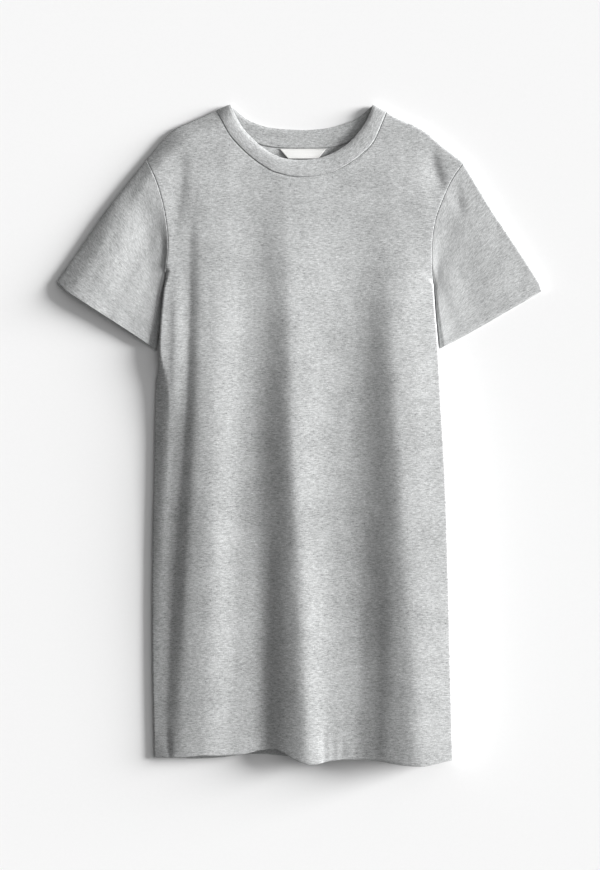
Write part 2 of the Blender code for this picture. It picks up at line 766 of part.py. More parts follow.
def label():
    """The blank folded label at the back neck seam, its lower edge a little clear of the back."""
    rows = []
    for share in (0.0, 0.3, 0.6, 0.85, 1.0):
        y = LABEL_TOP_Y + share * (LABEL_BOTTOM_Y - LABEL_TOP_Y)
        left = LABEL_TOP[0] + share * (LABEL_BOTTOM[0] - LABEL_TOP[0])
        right = LABEL_TOP[1] + share * (LABEL_BOTTOM[1] - LABEL_TOP[1])
        z = CLOTH + GAP + LABEL / 2 + LABEL_LIFT * ease(share)
        rows.append([(x, y, z) for x in np.linspace(left, right, 5)])
    middle = np.array(rows)
    wall = np.zeros_like(middle)
    wall[:, :, 2] = 1.0
    return wall_body("label", middle, wall, LABEL, SATIN)


def main():
    """Clear the scene and build the dress."""
    for item in list(bpy.data.objects):
        bpy.data.objects.remove(item, do_unlink=True)
    left_seam = armhole_seam(LEFT_ARMHOLE, 1)
    right_seam = armhole_seam(RIGHT_ARMHOLE, -1)
    neck = neck_seam()
    arm_count = ARMHOLE_SPANS + 1
    left_halves = split_ring(left_seam, arm_count)
    right_halves = split_ring(right_seam, arm_count)
    neck_halves = split_ring(neck, FRONT_NECK_SPANS + 1)
    body_panel("front", front_height, 1, neck_halves[0], (left_halves[0], right_halves[0]),
               "front", LENGTH_SPANS, SHOULDER_SPANS)
    body_panel("back", back_height, -1, neck_halves[1], (left_halves[1], right_halves[1]),
               "back", BACK_LENGTH_SPANS, BACK_SHOULDER_SPANS)
    sleeve("sleeve_left", left_seam, arm_count, LEFT_SLEEVE_FOLD,
           underarm_line("left", LEFT_ARMPIT, LEFT_SLEEVE_HEM[-1]), LEFT_SLEEVE_HEM,
           LEFT_SLEEVE_ROWS, LEFT_TUCK)
    sleeve("sleeve_right", right_seam, arm_count, RIGHT_SLEEVE_FOLD,
           underarm_line("right", RIGHT_ARMPIT, RIGHT_SLEEVE_HEM[-1]), RIGHT_SLEEVE_HEM,
           RIGHT_SLEEVE_ROWS, RIGHT_TUCK)
    neckband(neck, FRONT_NECK_SPANS + 1)
    label()


main()
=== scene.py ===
"""Looks of a short-sleeved jersey T-shirt dress that lies flat with its front up.

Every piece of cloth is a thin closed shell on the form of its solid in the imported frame. Tables are in
millimetres, in the frame's directions: x to the right, y up the garment towards the neck, z up from the
floor. Meshes are in metres.
"""

import logging
import math
from collections.abc import Callable
from dataclasses import dataclass, field
from enum import Enum

import bmesh
import bpy
import numpy as np
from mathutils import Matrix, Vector, noise


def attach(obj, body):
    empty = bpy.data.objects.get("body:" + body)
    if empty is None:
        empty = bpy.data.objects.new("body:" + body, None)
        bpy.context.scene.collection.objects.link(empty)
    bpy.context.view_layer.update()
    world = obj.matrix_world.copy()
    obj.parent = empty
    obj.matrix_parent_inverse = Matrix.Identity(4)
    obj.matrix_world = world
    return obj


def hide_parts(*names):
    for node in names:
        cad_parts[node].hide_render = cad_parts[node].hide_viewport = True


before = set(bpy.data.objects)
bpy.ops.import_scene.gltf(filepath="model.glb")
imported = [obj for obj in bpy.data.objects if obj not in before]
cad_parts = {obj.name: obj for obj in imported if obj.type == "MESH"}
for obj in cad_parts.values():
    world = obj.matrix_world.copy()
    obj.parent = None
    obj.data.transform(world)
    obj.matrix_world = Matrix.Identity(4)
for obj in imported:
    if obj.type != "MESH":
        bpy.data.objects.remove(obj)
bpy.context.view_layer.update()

Array = np.ndarray
LOG = logging.getLogger("dress")
MM = 0.001
BODY = "root"

# The cloth and how it ends, in millimetres
CLOTH = 1.5             # wall of the jersey
SEAM_GAP = 0.1          # between two pieces along a seam
SEAM_TURN = 0.6         # width over which cloth turns down into a seam
SEAM_THIN = 0.3         # share of the wall that shows right at the seam
HEM_ROUND = 1.0         # radius of a turned-up hem
HEM_BLUNT = 0.08        # share of that radius where the rounding starts
SWELL_CURVE = 1.7       # how soon cloth that leans down to its edge has risen

# Spacing of a fine grid's first stations from an edge, in millimetres
EDGE_STEPS = (0.0, 0.5, 1.2, 2.2, 3.6, 5.4, 7.8, 11.0, 15.0)
ARMPIT_STEPS = (0.0, 0.8, 2.0, 4.0, 6.5, 9.5, 13.0, 17.0, 22.0, 28.0, 35.0)
HEM_STEPS = (0.0, 0.15, 0.4, 0.8, 1.4, 3.0)
TUCK_SHARES = (0.0, 0.3, 0.65)     # of the hollow beside the body, from its edge
TUCK_STEPS = (0.0, 1.5, 4.0, 8.0, 13.0)
LOWER_EDGE_STEPS = EDGE_STEPS[:5]
LOWER_ARMPIT_STEPS = ARMPIT_STEPS[:6]
YOKE_STEPS = EDGE_STEPS[:6]
PLAIN = (0.0,)

# How closely lines are followed
CURVE_STEPS = 24        # points between two knots of a line
LENGTH_STEPS = 200      # points that measure a line's length
CREASE_PIECES = 24      # straight pieces that stand for a crease's line
CREASE_FADE = 0.8       # how soon a crease rises from its ends


class Layer(Enum):
    """Which side of the laid garment a panel is."""

    UPPER = 1
    LOWER = -1


class Hand(Enum):
    """Left or right, as the photograph shows them, with the direction away from the body."""

    LEFT = -1
    RIGHT = 1


# Small helpers on arrays

def unit(vectors: Array) -> Array:
    """Vectors at length one."""
    return vectors / np.linalg.norm(vectors, axis=-1, keepdims=True)


def ease(t: Array) -> Array:
    """A smooth step from 0 to 1."""
    t = np.clip(t, 0.0, 1.0)
    return t * t * (3 - 2 * t)


def roll(distance: Array, radius: Array | float) -> Array:
    """Share of its full height that rounded cloth has reached at a distance from its folded edge."""
    t = np.clip(np.asarray(distance) / radius, 0.0, 1.0)
    return np.sqrt(1.0 - (1.0 - t) ** 2)


def swell(distance: Array, radius: Array | float) -> Array:
    """The same share for cloth that leans down softly to its edge."""
    t = np.clip(np.asarray(distance) / radius, 0.0, 1.0)
    return 1.0 - (1.0 - t) ** SWELL_CURVE


def seam_fullness(distance: Array) -> Array:
    """Share of its thickness that cloth has at a distance from a seam, into which it turns down."""
    return SEAM_THIN + (1 - SEAM_THIN) * ease(np.asarray(distance) / SEAM_TURN)


def edge_fullness(distance: Array, radius: float, blunt: float) -> Array:
    """Share of its thickness that cloth has at a distance from its rounded free edge."""
    return np.sqrt(1 - (1 - np.clip(distance / radius, blunt, 1.0)) ** 2)


def running_length(line: Array) -> Array:
    """Length of a line of points from its start to each of its points."""
    steps = np.linalg.norm(np.diff(line, axis=0), axis=1)
    return np.concatenate([[0.0], np.cumsum(steps)])


def stations(length: float, spans: int, start: tuple[float, ...] = EDGE_STEPS,
             end: tuple[float, ...] = EDGE_STEPS) -> Array:
    """Shares of a length, with fine steps at its ends and even spans between them.

    Args:
        length: length of the line, in millimetres.
        spans: how many spans there are in all.
        start: distances of the first stations from the line's start.
        end: distances of the last stations from its end.

    Returns:
        The shares, from 0 to 1.
    """
    first = [step / length for step in start]
    last = [1.0 - step / length for step in reversed(end)]
    middle = np.linspace(first[-1], last[0], spans - len(first) - len(last) + 3)[1:-1]
    return np.array(first + list(middle) + last)


def level_at_knots(places: list[Array], heights: list[Array], at: Array,
                   lean: tuple[float, ...]) -> Array:
    """Heights between knots that are all tops or bottoms, so the cloth is level at each of them.

    Args:
        places: place of each knot, one array for each.
        heights: height of each knot.
        at: where the height is read.
        lean: for each slope between knots, where it is steepest; 1 is half way.

    Returns:
        The height at each place.
    """
    result = heights[0] + np.zeros_like(at)
    for k in range(len(places) - 1):
        t = np.clip((at - places[k]) / (places[k + 1] - places[k]), 0.0, 1.0)
        t = ease(t ** lean[k])
        result = np.where(at > places[k], heights[k] + (heights[k + 1] - heights[k]) * t, result)
    return result


def coons(left: Array, right: Array, bottom: Array, top: Array, reach: float = 1,
          even: Array | None = None, rows: Array | None = None) -> Array:
    """Points seen from above between four edges: left and right run up, bottom and top across.

    Args:
        left: left edge's points.
        right: right edge's points, as many as on the left.
        bottom: bottom edge's points.
        top: top edge's points, as many as at the bottom.
        reach: how fast the bends of the side edges fade inwards.
        even: for each column, the share by which its rows lie at shares of their own.
        rows: those shares, one for each row.

    Returns:
        A grid of points, row by row from the bottom.
    """
    def shares(line: Array) -> Array:
        """Share of its length at each point of a line."""
        length = running_length(line)
        return length / length[-1]

    u = ((shares(bottom) + shares(top)) / 2)[None, :, None]
    v = ((shares(left) + shares(right)) / 2)[:, None, None]
    left_bend = left[:, None] - ((1 - v) * bottom[0] + v * top[0])
    right_bend = right[:, None] - ((1 - v) * bottom[-1] + v * top[-1])
    if even is not None:
        own = even[None, :, None]
        v = v * (1 - own) + rows[:, None, None] * own
    ruled = (1 - v) * bottom[None] + v * top[None]
    return ruled + (1 - u) ** reach * left_bend + u ** reach * right_bend


# Lines and tables

@dataclass(frozen=True)
class Line:
    """A smooth open line through points seen from above, in millimetres."""

    points: tuple[tuple[float, float], ...]

    def at(self, shares: Array) -> Array:
        """Points at the given shares of the line's length.

        Args:
            shares: places along the line, from 0 to 1.

        Returns:
            One point for each share.
        """
        knots = np.array(self.points, float)
        padded = np.vstack([2 * knots[0] - knots[1], knots, 2 * knots[-1] - knots[-2]])
        t = np.linspace(0, 1, CURVE_STEPS, endpoint=False)[:, None]
        spans = []
        for a, b, c, d in zip(padded, padded[1:], padded[2:], padded[3:]):
            spans.append(0.5 * (2 * b + (c - a) * t + (2 * a - 5 * b + 4 * c - d) * t ** 2
                                + (3 * b - a - 3 * c + d) * t ** 3))
        dense = np.vstack(spans + [knots[-1:]])
        length = running_length(dense)
        wanted = np.asarray(shares) * length[-1]
        return np.stack([np.interp(wanted, length, dense[:, k]) for k in range(2)], axis=1)

    @property
    def length(self) -> float:
        """Length of the whole line."""
        return float(running_length(self.at(np.linspace(0, 1, LENGTH_STEPS)))[-1])

    def turned(self) -> "Line":
        """The same line from its other end."""
        return Line(tuple(reversed(self.points)))

    def nearest(self, x: Array, y: Array, pieces: int = 120) -> tuple[Array, Array, Array]:
        """How points seen from above lie to the line.

        Args:
            x: places across.
            y: places up the garment.
            pieces: how many straight pieces stand for the line.

        Returns:
            Distance, share of the line's length at the nearest point, and the side: 1 to its left.
        """
        dense = self.at(np.linspace(0, 1, pieces + 1))
        run = np.diff(dense, axis=0)
        best = np.full(np.shape(x), np.inf)
        share = np.zeros(np.shape(x))
        side = np.zeros(np.shape(x))
        for k, (start, step) in enumerate(zip(dense, run)):
            dx = x - start[0]
            dy = y - start[1]
            t = np.clip((dx * step[0] + dy * step[1]) / (step @ step), 0.0, 1.0)
            gap = np.hypot(dx - t * step[0], dy - t * step[1])
            closer = gap < best
            best = np.where(closer, gap, best)
            share = np.where(closer, (k + t) / pieces, share)
            side = np.where(closer, np.sign(step[0] * dy - step[1] * dx), side)
        return best, share, side


@dataclass(frozen=True)
class Table:
    """Numbers in named columns, read smoothly at places in its first column."""

    names: tuple[str, ...]
    rows: tuple[tuple[float, ...], ...]

    def read(self, name: str, at: Array | float) -> Array:
        """A column's values at places of the first column, with no corner at a row.

        Args:
            name: the column.
            at: places in the first column; past its ends, the end rows hold.

        Returns:
            The value at each place.
        """
        places = np.array([row[0] for row in self.rows])
        values = np.array([row[self.names.index(name)] for row in self.rows])
        slopes = np.gradient(values, places)
        at = np.clip(at, places[0], places[-1])
        k = np.clip(np.searchsorted(places, at, side="right") - 1, 0, len(places) - 2)
        width = places[k + 1] - places[k]
        t = (at - places[k]) / width
        return ((2 * t ** 3 - 3 * t ** 2 + 1) * values[k]
                + (t ** 3 - 2 * t ** 2 + t) * width * slopes[k]
                + (3 * t ** 2 - 2 * t ** 3) * values[k + 1]
                + (t ** 3 - t ** 2) * width * slopes[k + 1])


@dataclass(frozen=True)
class Crease:
    """A soft trough or ridge, strongest half way along its line.

    Left and right are its half widths on the two sides of the line, seen from its start.
    """

    points: tuple[tuple[float, float], ...]
    height: float
    left: float
    right: float

    def rise(self, x: Array, y: Array) -> Array:
        """Height that it adds at points seen from above.

        Args:
            x: places across.
            y: places up the garment.

        Returns:
            The height to add at each point.
        """
        gap, share, side = Line(self.points).nearest(x, y, CREASE_PIECES)
        width = np.where(side > 0, self.left, self.right)
        return self.height * np.sin(math.pi * share) ** CREASE_FADE * np.exp(-(gap / width) ** 2)


# Outline of the laid dress: side folds, hems, shoulders, armholes and neckline

SIDES = Table(("y", "left", "right"), (
    (-433.0, -195.0, 204.3),
    (-300.0, -197.5, 201.0),
    (-170.0, -197.3, 197.8),
    (-62.0, -195.0, 194.3),
    (45.0, -193.2, 188.6),
    (110.0, -190.0, 185.2),
    (165.0, -186.4, 180.9),
    (208.0, -181.4, 177.9),
))
HEMS = Table(("x", "front", "back"), (
    (-195.0, -433.4, -433.4),
    (-163.5, -433.0, -434.6),
    (-133.2, -430.1, -435.2),
    (-104.5, -429.7, -433.6),
    (-72.4, -427.5, -429.6),
    (-49.6, -422.4, -429.4),
    (-26.8, -422.0, -430.9),
    (-12.6, -430.8, -432.4),
    (4.0, -438.4, -433.6),
    (16.1, -440.2, -434.0),
    (40.2, -435.2, -433.0),
    (78.5, -433.2, -431.0),
    (105.9, -435.1, -432.5),
    (135.3, -439.5, -434.0),
    (168.8, -439.9, -434.0),
    (183.6, -436.6, -433.0),
    (204.4, -431.7, -431.7),
))
ARMPITS = {Hand.LEFT: (-180.6, 215.0), Hand.RIGHT: (178.0, 202.0)}

# Each shoulder from the sleeve to the neck, and each armhole from the armpit to the shoulder
SHOULDERS = {
    Hand.LEFT: Line(((-205.0, 365.8), (-182.2, 392.6), (-169.8, 404.4), (-157.5, 411.6),
                     (-141.1, 418.4), (-111.6, 431.6))),
    Hand.RIGHT: Line(((218.8, 362.5), (191.1, 384.4), (168.8, 403.2), (147.8, 414.3),
                      (127.7, 423.0), (116.0, 430.5))),
}
ARMHOLES = {
    Hand.LEFT: Line((ARMPITS[Hand.LEFT], (-176.6, 243.0), (-177.2, 270.3), (-182.6, 304.4),
                     (-192.4, 337.6), (-205.0, 365.8))),
    Hand.RIGHT: Line((ARMPITS[Hand.RIGHT], (176.4, 225.0), (177.2, 259.3), (181.8, 287.4),
                      (189.6, 309.5), (202.3, 337.7), (218.8, 362.5))),
}
FRONT_NECK_SEAM = Line((
    (-111.6, 431.6), (-95.1, 400.8), (-79.1, 382.0), (-62.3, 367.0), (-45.6, 355.4), (-29.5, 347.6),
    (1.3, 342.4), (40.2, 348.2), (71.0, 364.6), (88.4, 379.2), (99.8, 393.0), (116.0, 430.5)))
FRONT_BAND_EDGE = Line((
    (-93.1, 439.8), (-86.5, 425.8), (-78.0, 410.7), (-67.0, 397.6), (-53.6, 385.3), (-37.5, 373.9),
    (-18.8, 367.4), (2.7, 365.8), (24.1, 368.0), (44.2, 375.2), (63.0, 387.0), (79.1, 404.0),
    (89.8, 420.3), (97.8, 439.8)))
BACK_NECK_SEAM = Line((
    (-111.6, 431.6), (-88.0, 406.5), (-56.3, 387.9), (-29.5, 382.6), (3.4, 381.8), (36.2, 382.6),
    (62.0, 388.4), (92.0, 407.0), (116.0, 430.5)))
BACK_BAND_EDGE = Line((
    (-93.1, 439.8), (-72.4, 422.0), (-53.6, 413.4), (-33.5, 408.9), (3.0, 406.6), (36.2, 409.0),
    (56.3, 414.0), (77.2, 422.4), (97.8, 439.8)))

# The long folds of the front at heights up the garment: places across, then heights
FRONT_FOLDS = Table(
    ("y", "crest_1", "valley_1", "crest_2", "valley_2", "crest_3",
     "edge_z", "crest_1_z", "valley_1_z", "crest_2_z", "valley_2_z", "crest_3_z", "right_z"), (
        (-434.0, -126.0, -85.8, 13.0, 44.0, 156.0, 7.4, 14.0, 12.2, 26.6, 25.0, 36.0, 31.0),
        (-357.1, -122.0, -84.0, 9.0, 39.5, 155.0, 7.6, 15.2, 13.0, 27.9, 25.6, 36.0, 31.0),
        (-196.3, -119.0, -79.7, 2.0, 44.5, 143.0, 8.0, 18.2, 15.2, 27.5, 24.7, 36.0, 31.0),
        (-35.5, -117.2, -74.4, -7.4, 50.2, 134.0, 8.6, 18.5, 15.5, 26.7, 23.1, 34.0, 30.0),
        (125.3, -117.2, -69.0, -12.7, 57.0, 125.3, 13.2, 16.7, 13.6, 19.4, 16.0, 22.6, 17.0),
        (205.0, -114.4, -68.6, -15.6, 64.5, 124.0, 11.4, 13.9, 12.4, 15.4, 12.0, 14.6, 9.6),
        (259.3, -112.2, -68.3, -17.8, 72.0, 122.6, 11.3, 12.6, 11.6, 13.6, 11.2, 12.0, 9.4),
        (326.3, -106.0, -70.0, -12.0, 70.0, 128.0, 10.2, 10.9, 10.2, 11.0, 9.6, 10.4, 9.2),
        (432.0, -112.0, -60.0, 0.0, 60.0, 120.0, 9.5, 9.8, 9.4, 9.2, 8.2, 7.6, 7.0),
    ))
FOLD_KNOTS = ("crest_1", "valley_1", "crest_2", "valley_2", "crest_3")

# How far in from the left side's fold the front has fully risen: steep only beside the sleeve
LEFT_TURN = Table(("y", "radius"), (
    (-434.0, 16.0),
    (-60.0, 17.0),
    (20.0, 20.0),
    (60.0, 17.0),
    (105.0, 2.6),
    (140.0, 1.4),
    (170.0, 1.4),
    (200.0, 2.0),
    (222.0, 9.0),
    (245.0, 30.0),
    (432.0, 34.0),
))
FOLD_REACH = (-215.0, 225.0)
FOLD_LEAN = (1.0, 1.0, 1.4, 0.8, 1.5, 1.0)    # above 1, a slope is steepest near its right end

# Each line runs down the garment, so its left half width is the one to the right in the photograph
FRONT_CREASES = (
    Crease(((-147.0, 330.0), (-148.0, 290.0), (-148.0, 240.0), (-149.5, 160.0), (-152.0, 60.0),
            (-157.0, -30.0), (-163.5, -130.0), (-172.0, -250.0), (-180.0, -350.0), (-184.5, -420.0),
            (-186.0, -500.0)), -3.4, 9.5, 34.0),
    Crease(((-164.0, -60.0), (-169.0, -200.0), (-174.0, -330.0), (-180.0, -434.0), (-184.0, -540.0)),
           -1.9, 12.0, 26.0),
    Crease(((-176.0, -392.0), (-174.5, -410.0), (-174.0, -434.0)), -2.0, 3.0, 4.0),
    Crease(((31.0, -385.0), (32.5, -408.0), (33.0, -470.0)), -0.8, 3.0, 3.5),
    Crease(((43.0, -392.0), (43.5, -412.0), (43.0, -470.0)), -0.6, 2.6, 3.0),
    Crease(((57.0, -400.0), (57.0, -416.0), (56.0, -460.0)), -0.6, 2.4, 3.2),
    Crease(((-44.0, -120.0), (-43.5, -230.0), (-43.5, -340.0), (-44.5, -434.0), (-45.0, -560.0)),
           -3.3, 12.0, 20.0),
    Crease(((84.0, -100.0), (80.0, -200.0), (76.0, -300.0), (72.0, -380.0), (70.0, -434.0),
            (69.0, -560.0)), -2.8, 21.0, 46.0),
    Crease(((-168.0, 20.0), (-166.0, 90.0), (-165.0, 150.0), (-164.0, 225.0)), 1.4, 8.0, 13.0),
    Crease(((104.0, -150.0), (103.0, -250.0), (101.0, -350.0), (98.0, -434.0), (97.0, -560.0)),
           -1.5, 12.0, 22.0),
    Crease(((-158.0, 388.0), (-159.5, 326.3), (-166.0, 292.8), (-173.0, 255.0)), -1.2, 9.0, 16.0),
    Crease(((176.0, 384.0), (181.0, 355.0), (191.0, 322.0)), -2.0, 7.0, 16.0),
)
BACK_CREASES = (
    Crease(((-120.0, -400.0), (-112.0, -250.0), (-104.0, -60.0), (-96.0, 90.0)), 1.6, 16.0, 22.0),
    Crease(((18.0, -430.0), (6.0, -280.0), (-6.0, -90.0), (-16.0, 60.0), (-20.0, 180.0)), 1.9, 24.0, 18.0),
    Crease(((150.0, -425.0), (140.0, -260.0), (128.0, -100.0), (118.0, 40.0)), 1.7, 20.0, 26.0),
    Crease(((70.0, -300.0), (66.0, -180.0), (74.0, -60.0)), 1.0, 12.0, 15.0),
    Crease(((-60.0, 120.0), (-20.0, 170.0), (40.0, 190.0), (90.0, 170.0)), 0.9, 14.0, 18.0),
    Crease(((-150.0, 260.0), (-110.0, 300.0), (-70.0, 320.0)), 0.8, 10.0, 14.0),
    Crease(((150.0, 230.0), (110.0, 280.0), (84.0, 330.0)), 0.9, 13.0, 10.0),
)


# Form of the dress

@dataclass(frozen=True)
class SeamRing:
    """A sewn ring: its points, the level direction across it and the direction through the wall."""

    points: Array
    across: Array
    wall: Array
    upper_count: int

    def half(self, layer: Layer) -> "SeamRing":
        """The ring's upper or lower half, from its first fold to its second.

        Args:
            layer: which half.

        Returns:
            The half, as an open run of points.
        """
        last = self.upper_count - 1
        if layer is Layer.UPPER:
            chosen = np.arange(self.upper_count)
        else:
            chosen = np.concatenate([[0], np.arange(len(self.points) - 1, last, -1), [last]])
        return SeamRing(self.points[chosen], self.across[chosen], self.wall[chosen], len(chosen))


@dataclass(frozen=True)
class DressForm:
    """Where the cloth of the laid dress runs: heights of both layers and the rings between pieces."""

    seam_height: float = 4.0
    back_level: float = 0.75
    back_roll: float = 5.0
    right_roll: float = 0.8
    right_overhang: float = 3.2
    left_overhang: float = 4.0
    left_overhang_end: float = 70.0
    left_shoulder_swell: float = 22.0
    right_shoulder_roll: float = 2.6
    armpit_roll: float = 26.0
    armpit_lead: float = 4.0
    armpit_blend: float = 20.0
    armpit_dip: float = 0.15
    armpit_reach: float = 20.0
    overhang_fade: float = 30.0
    overhang_curl: float = 1.5
    groove_depth: float = 0.15
    groove_width: float = 1.3
    neck_spans: tuple[int, int] = (84, 60)
    armhole_spans: tuple[int, int] = (56, 34)
    ripple: float = 0.32
    ripple_fine: float = 0.4
    ripple_length: float = 1.9
    ripple_seed: float = 3.7
    ripple_sizes: tuple[float, float] = (34.0, 13.0)

    def side_line(self, hand: Hand) -> Line:
        """A side fold of the cloth's middle, from hem to armpit.

        Args:
            hand: which side.

        Returns:
            The fold's line.
        """
        column = hand.name.lower()
        inward = -CLOTH / 2 * hand.value
        armpit = ARMPITS[hand]
        heights = [row[0] for row in SIDES.rows if row[0] < armpit[1]]
        points = [(float(SIDES.read(column, y)) + inward, y) for y in heights]
        return Line((*points, armpit))

    @staticmethod
    def left_turn(y: Array) -> Array:
        """How far from the left side's fold the front has fully risen."""
        return np.maximum(LEFT_TURN.read("radius", y), 1.0)

    def folded_share(self, x: Array, y: Array, front: bool) -> Array:
        """Share of the full height that the cloth has reached beside the dress's folded edges.

        Args:
            x: places across.
            y: places up the garment.
            front: whether it is the front panel.

        Returns:
            The share at each point, from 0 to 1.
        """
        share = np.ones(np.shape(x))
        for hand in Hand:
            side = self.side_line(hand).nearest(x, y)[0]
            shoulder = SHOULDERS[hand].nearest(x, y)[0]
            if not front:
                share = np.minimum(share, roll(np.minimum(side, shoulder), self.back_roll))
            elif hand is Hand.LEFT:
                share = np.minimum(share, swell(side, self.left_turn(y)))
                share = np.minimum(share, swell(shoulder, self.left_shoulder_swell))
            else:
                above = ease((y - ARMPITS[hand][1] + self.armpit_lead) / self.armpit_blend)
                radius = self.right_roll + (self.armpit_roll - self.right_roll) * above
                share = np.minimum(share, roll(side, radius))
                share = np.minimum(share, roll(shoulder, self.right_shoulder_roll))
                away = np.hypot(x - ARMPITS[hand][0], y - ARMPITS[hand][1])
                share = share * (1 - self.armpit_dip * np.exp(-(away / self.armpit_reach) ** 2))
        return share

    def overhung(self, plan: Array, front: bool) -> Array:
        """Points seen from above, with the side folds drawn in under the cloth's rounded edge.

        Args:
            plan: points of a panel, seen from above.
            front: whether it is the front panel.

        Returns:
            The moved points: on the right all the way down, on the left only beside the sleeve.
        """
        x, y = plan[..., 0], plan[..., 1]
        for hand in Hand:
            gap = self.side_line(hand).nearest(x, y)[0]
            below = ease((ARMPITS[hand][1] - y) / self.overhang_fade)
            if hand is Hand.LEFT:
                share = swell(gap, self.left_turn(y))
                beside = ease((y - self.left_overhang_end) / self.overhang_fade)
                drawn = self.left_overhang * below * beside
            else:
                share = roll(gap, self.right_roll)
                drawn = self.right_overhang * below
            if not front:
                share = roll(gap, self.back_roll)
            x = x - hand.value * drawn * (1 - share) ** self.overhang_curl
        return np.stack([x, y], axis=-1)

    def groove(self, x: Array, y: Array) -> Array:
        """Depth of the soft grooves in which the front's armhole and neckline seams lie.

        Args:
            x: places across.
            y: places up the garment.

        Returns:
            The depth at each point.
        """
        lines = (*ARMHOLES.values(), FRONT_NECK_SEAM)
        gaps = [line.nearest(x, y)[0] for line in lines]
        return self.groove_depth * np.exp(-(np.min(gaps, axis=0) / self.groove_width) ** 2)

    def rippled(self, x: Array, y: Array, sizes: tuple[float, float]) -> Array:
        """Slight unevenness of laid jersey, coarse and fine, the same in every run.

        Args:
            x: places across.
            y: places up the garment.
            sizes: how far apart its coarse and its fine waves are.

        Returns:
            The height to add at each point.
        """
        places = list(zip(np.ravel(x), np.ravel(y)))

        def layer(size: float) -> Array:
            """Unevenness of one size.

            Args:
                size: how far apart its waves are.

            Returns:
                A value at each point.
            """
            tall = self.ripple_length * size
            values = [noise.noise(Vector((a / size, b / tall, self.ripple_seed))) for a, b in places]
            return np.reshape(values, np.shape(x))

        coarse, fine = sizes
        return self.ripple * (layer(coarse) + self.ripple_fine * layer(fine))

    def front(self, x: Array, y: Array) -> Array:
        """Height of the middle of the front's cloth.

        Args:
            x: places across.
            y: places up the garment.

        Returns:
            The height at each point.
        """
        places = [FOLD_REACH[0]] + [FRONT_FOLDS.read(name, y) for name in FOLD_KNOTS] + [FOLD_REACH[1]]
        tops = [FRONT_FOLDS.read(name + "_z", y) for name in ("edge",) + FOLD_KNOTS + ("right",)]
        full = level_at_knots(places, tops, x, FOLD_LEAN)
        full = full + sum(crease.rise(x, y) for crease in FRONT_CREASES)
        full = full + self.rippled(x, y, self.ripple_sizes)
        share = self.folded_share(x, y, True)
        return self.seam_height + (full - self.seam_height) * share - self.groove(x, y) * ease(share * 2)

    def back(self, x: Array, y: Array) -> Array:
        """Height of the middle of the back's cloth: on the floor, lifted a little along its creases.

        Args:
            x: places across.
            y: places up the garment.

        Returns:
            The height at each point.
        """
        share = self.folded_share(x, y, False)
        lift = sum(crease.rise(x, y) for crease in BACK_CREASES)
        level = self.back_level + lift * ease(share)
        return self.seam_height - (self.seam_height - level) * share

    def ring(self, upper: Array, lower: Array, turn: int) -> SeamRing:
        """A seam that runs along the upper layer and back along the lower one.

        Args:
            upper: points of its upper half.
            lower: points of its lower half, from the same fold to the same fold.
            turn: 1 where the other piece lies to the line's left, seen from above.

        Returns:
            The joined ring.
        """
        def across(points: Array) -> Array:
            """Level direction square to an open line."""
            run = unit(np.gradient(points[:, :2], axis=0)) * turn
            return np.stack([-run[:, 1], run[:, 0], np.zeros(len(run))], axis=1)

        points = np.vstack([upper, lower[-2:0:-1]])
        level = np.vstack([across(upper), across(lower)[-2:0:-1]])
        travel = np.roll(points, -1, axis=0) - np.roll(points, 1, axis=0)
        wall = unit(np.cross(travel, level))
        if wall[len(upper) // 2, 2] < 0:
            wall = -wall
        return SeamRing(points, level, wall, len(upper))

    def armhole_ring(self, hand: Hand) -> SeamRing:
        """The ring round an armhole, from the shoulder down the front and up the back.

        Args:
            hand: which armhole.

        Returns:
            The ring that body and sleeve share.
        """
        line = ARMHOLES[hand].turned()
        upper = line.at(stations(line.length, self.armhole_spans[0], EDGE_STEPS, ARMPIT_STEPS))
        lower = line.at(stations(line.length, self.armhole_spans[1], LOWER_EDGE_STEPS,
                                 LOWER_ARMPIT_STEPS))
        return self.ring(self.raised(upper, self.front), self.raised(lower, self.back), -hand.value)

    def neck_ring(self) -> SeamRing:
        """The ring round the neckline, along the front and back along the back.

        Returns:
            The ring that body and neckband share.
        """
        upper = FRONT_NECK_SEAM.at(stations(FRONT_NECK_SEAM.length, self.neck_spans[0]))
        lower = BACK_NECK_SEAM.at(stations(BACK_NECK_SEAM.length, self.neck_spans[1]))
        return self.ring(self.raised(upper, self.front), self.raised(lower, self.back), -1)

    @staticmethod
    def raised(plan: Array, height: Callable[[Array, Array], Array]) -> Array:
        """Points seen from above, each given its height."""
        return np.concatenate([plan, height(plan[..., 0], plan[..., 1])[..., None]], axis=-1)


# Meshes of cloth

def quads(grid: Array) -> Array:
    """Corner numbers of each square of a grid."""
    corners = (grid[:-1, :-1], grid[:-1, 1:], grid[1:, 1:], grid[1:, :-1])
    return np.stack(corners, axis=-1).reshape(-1, 4)


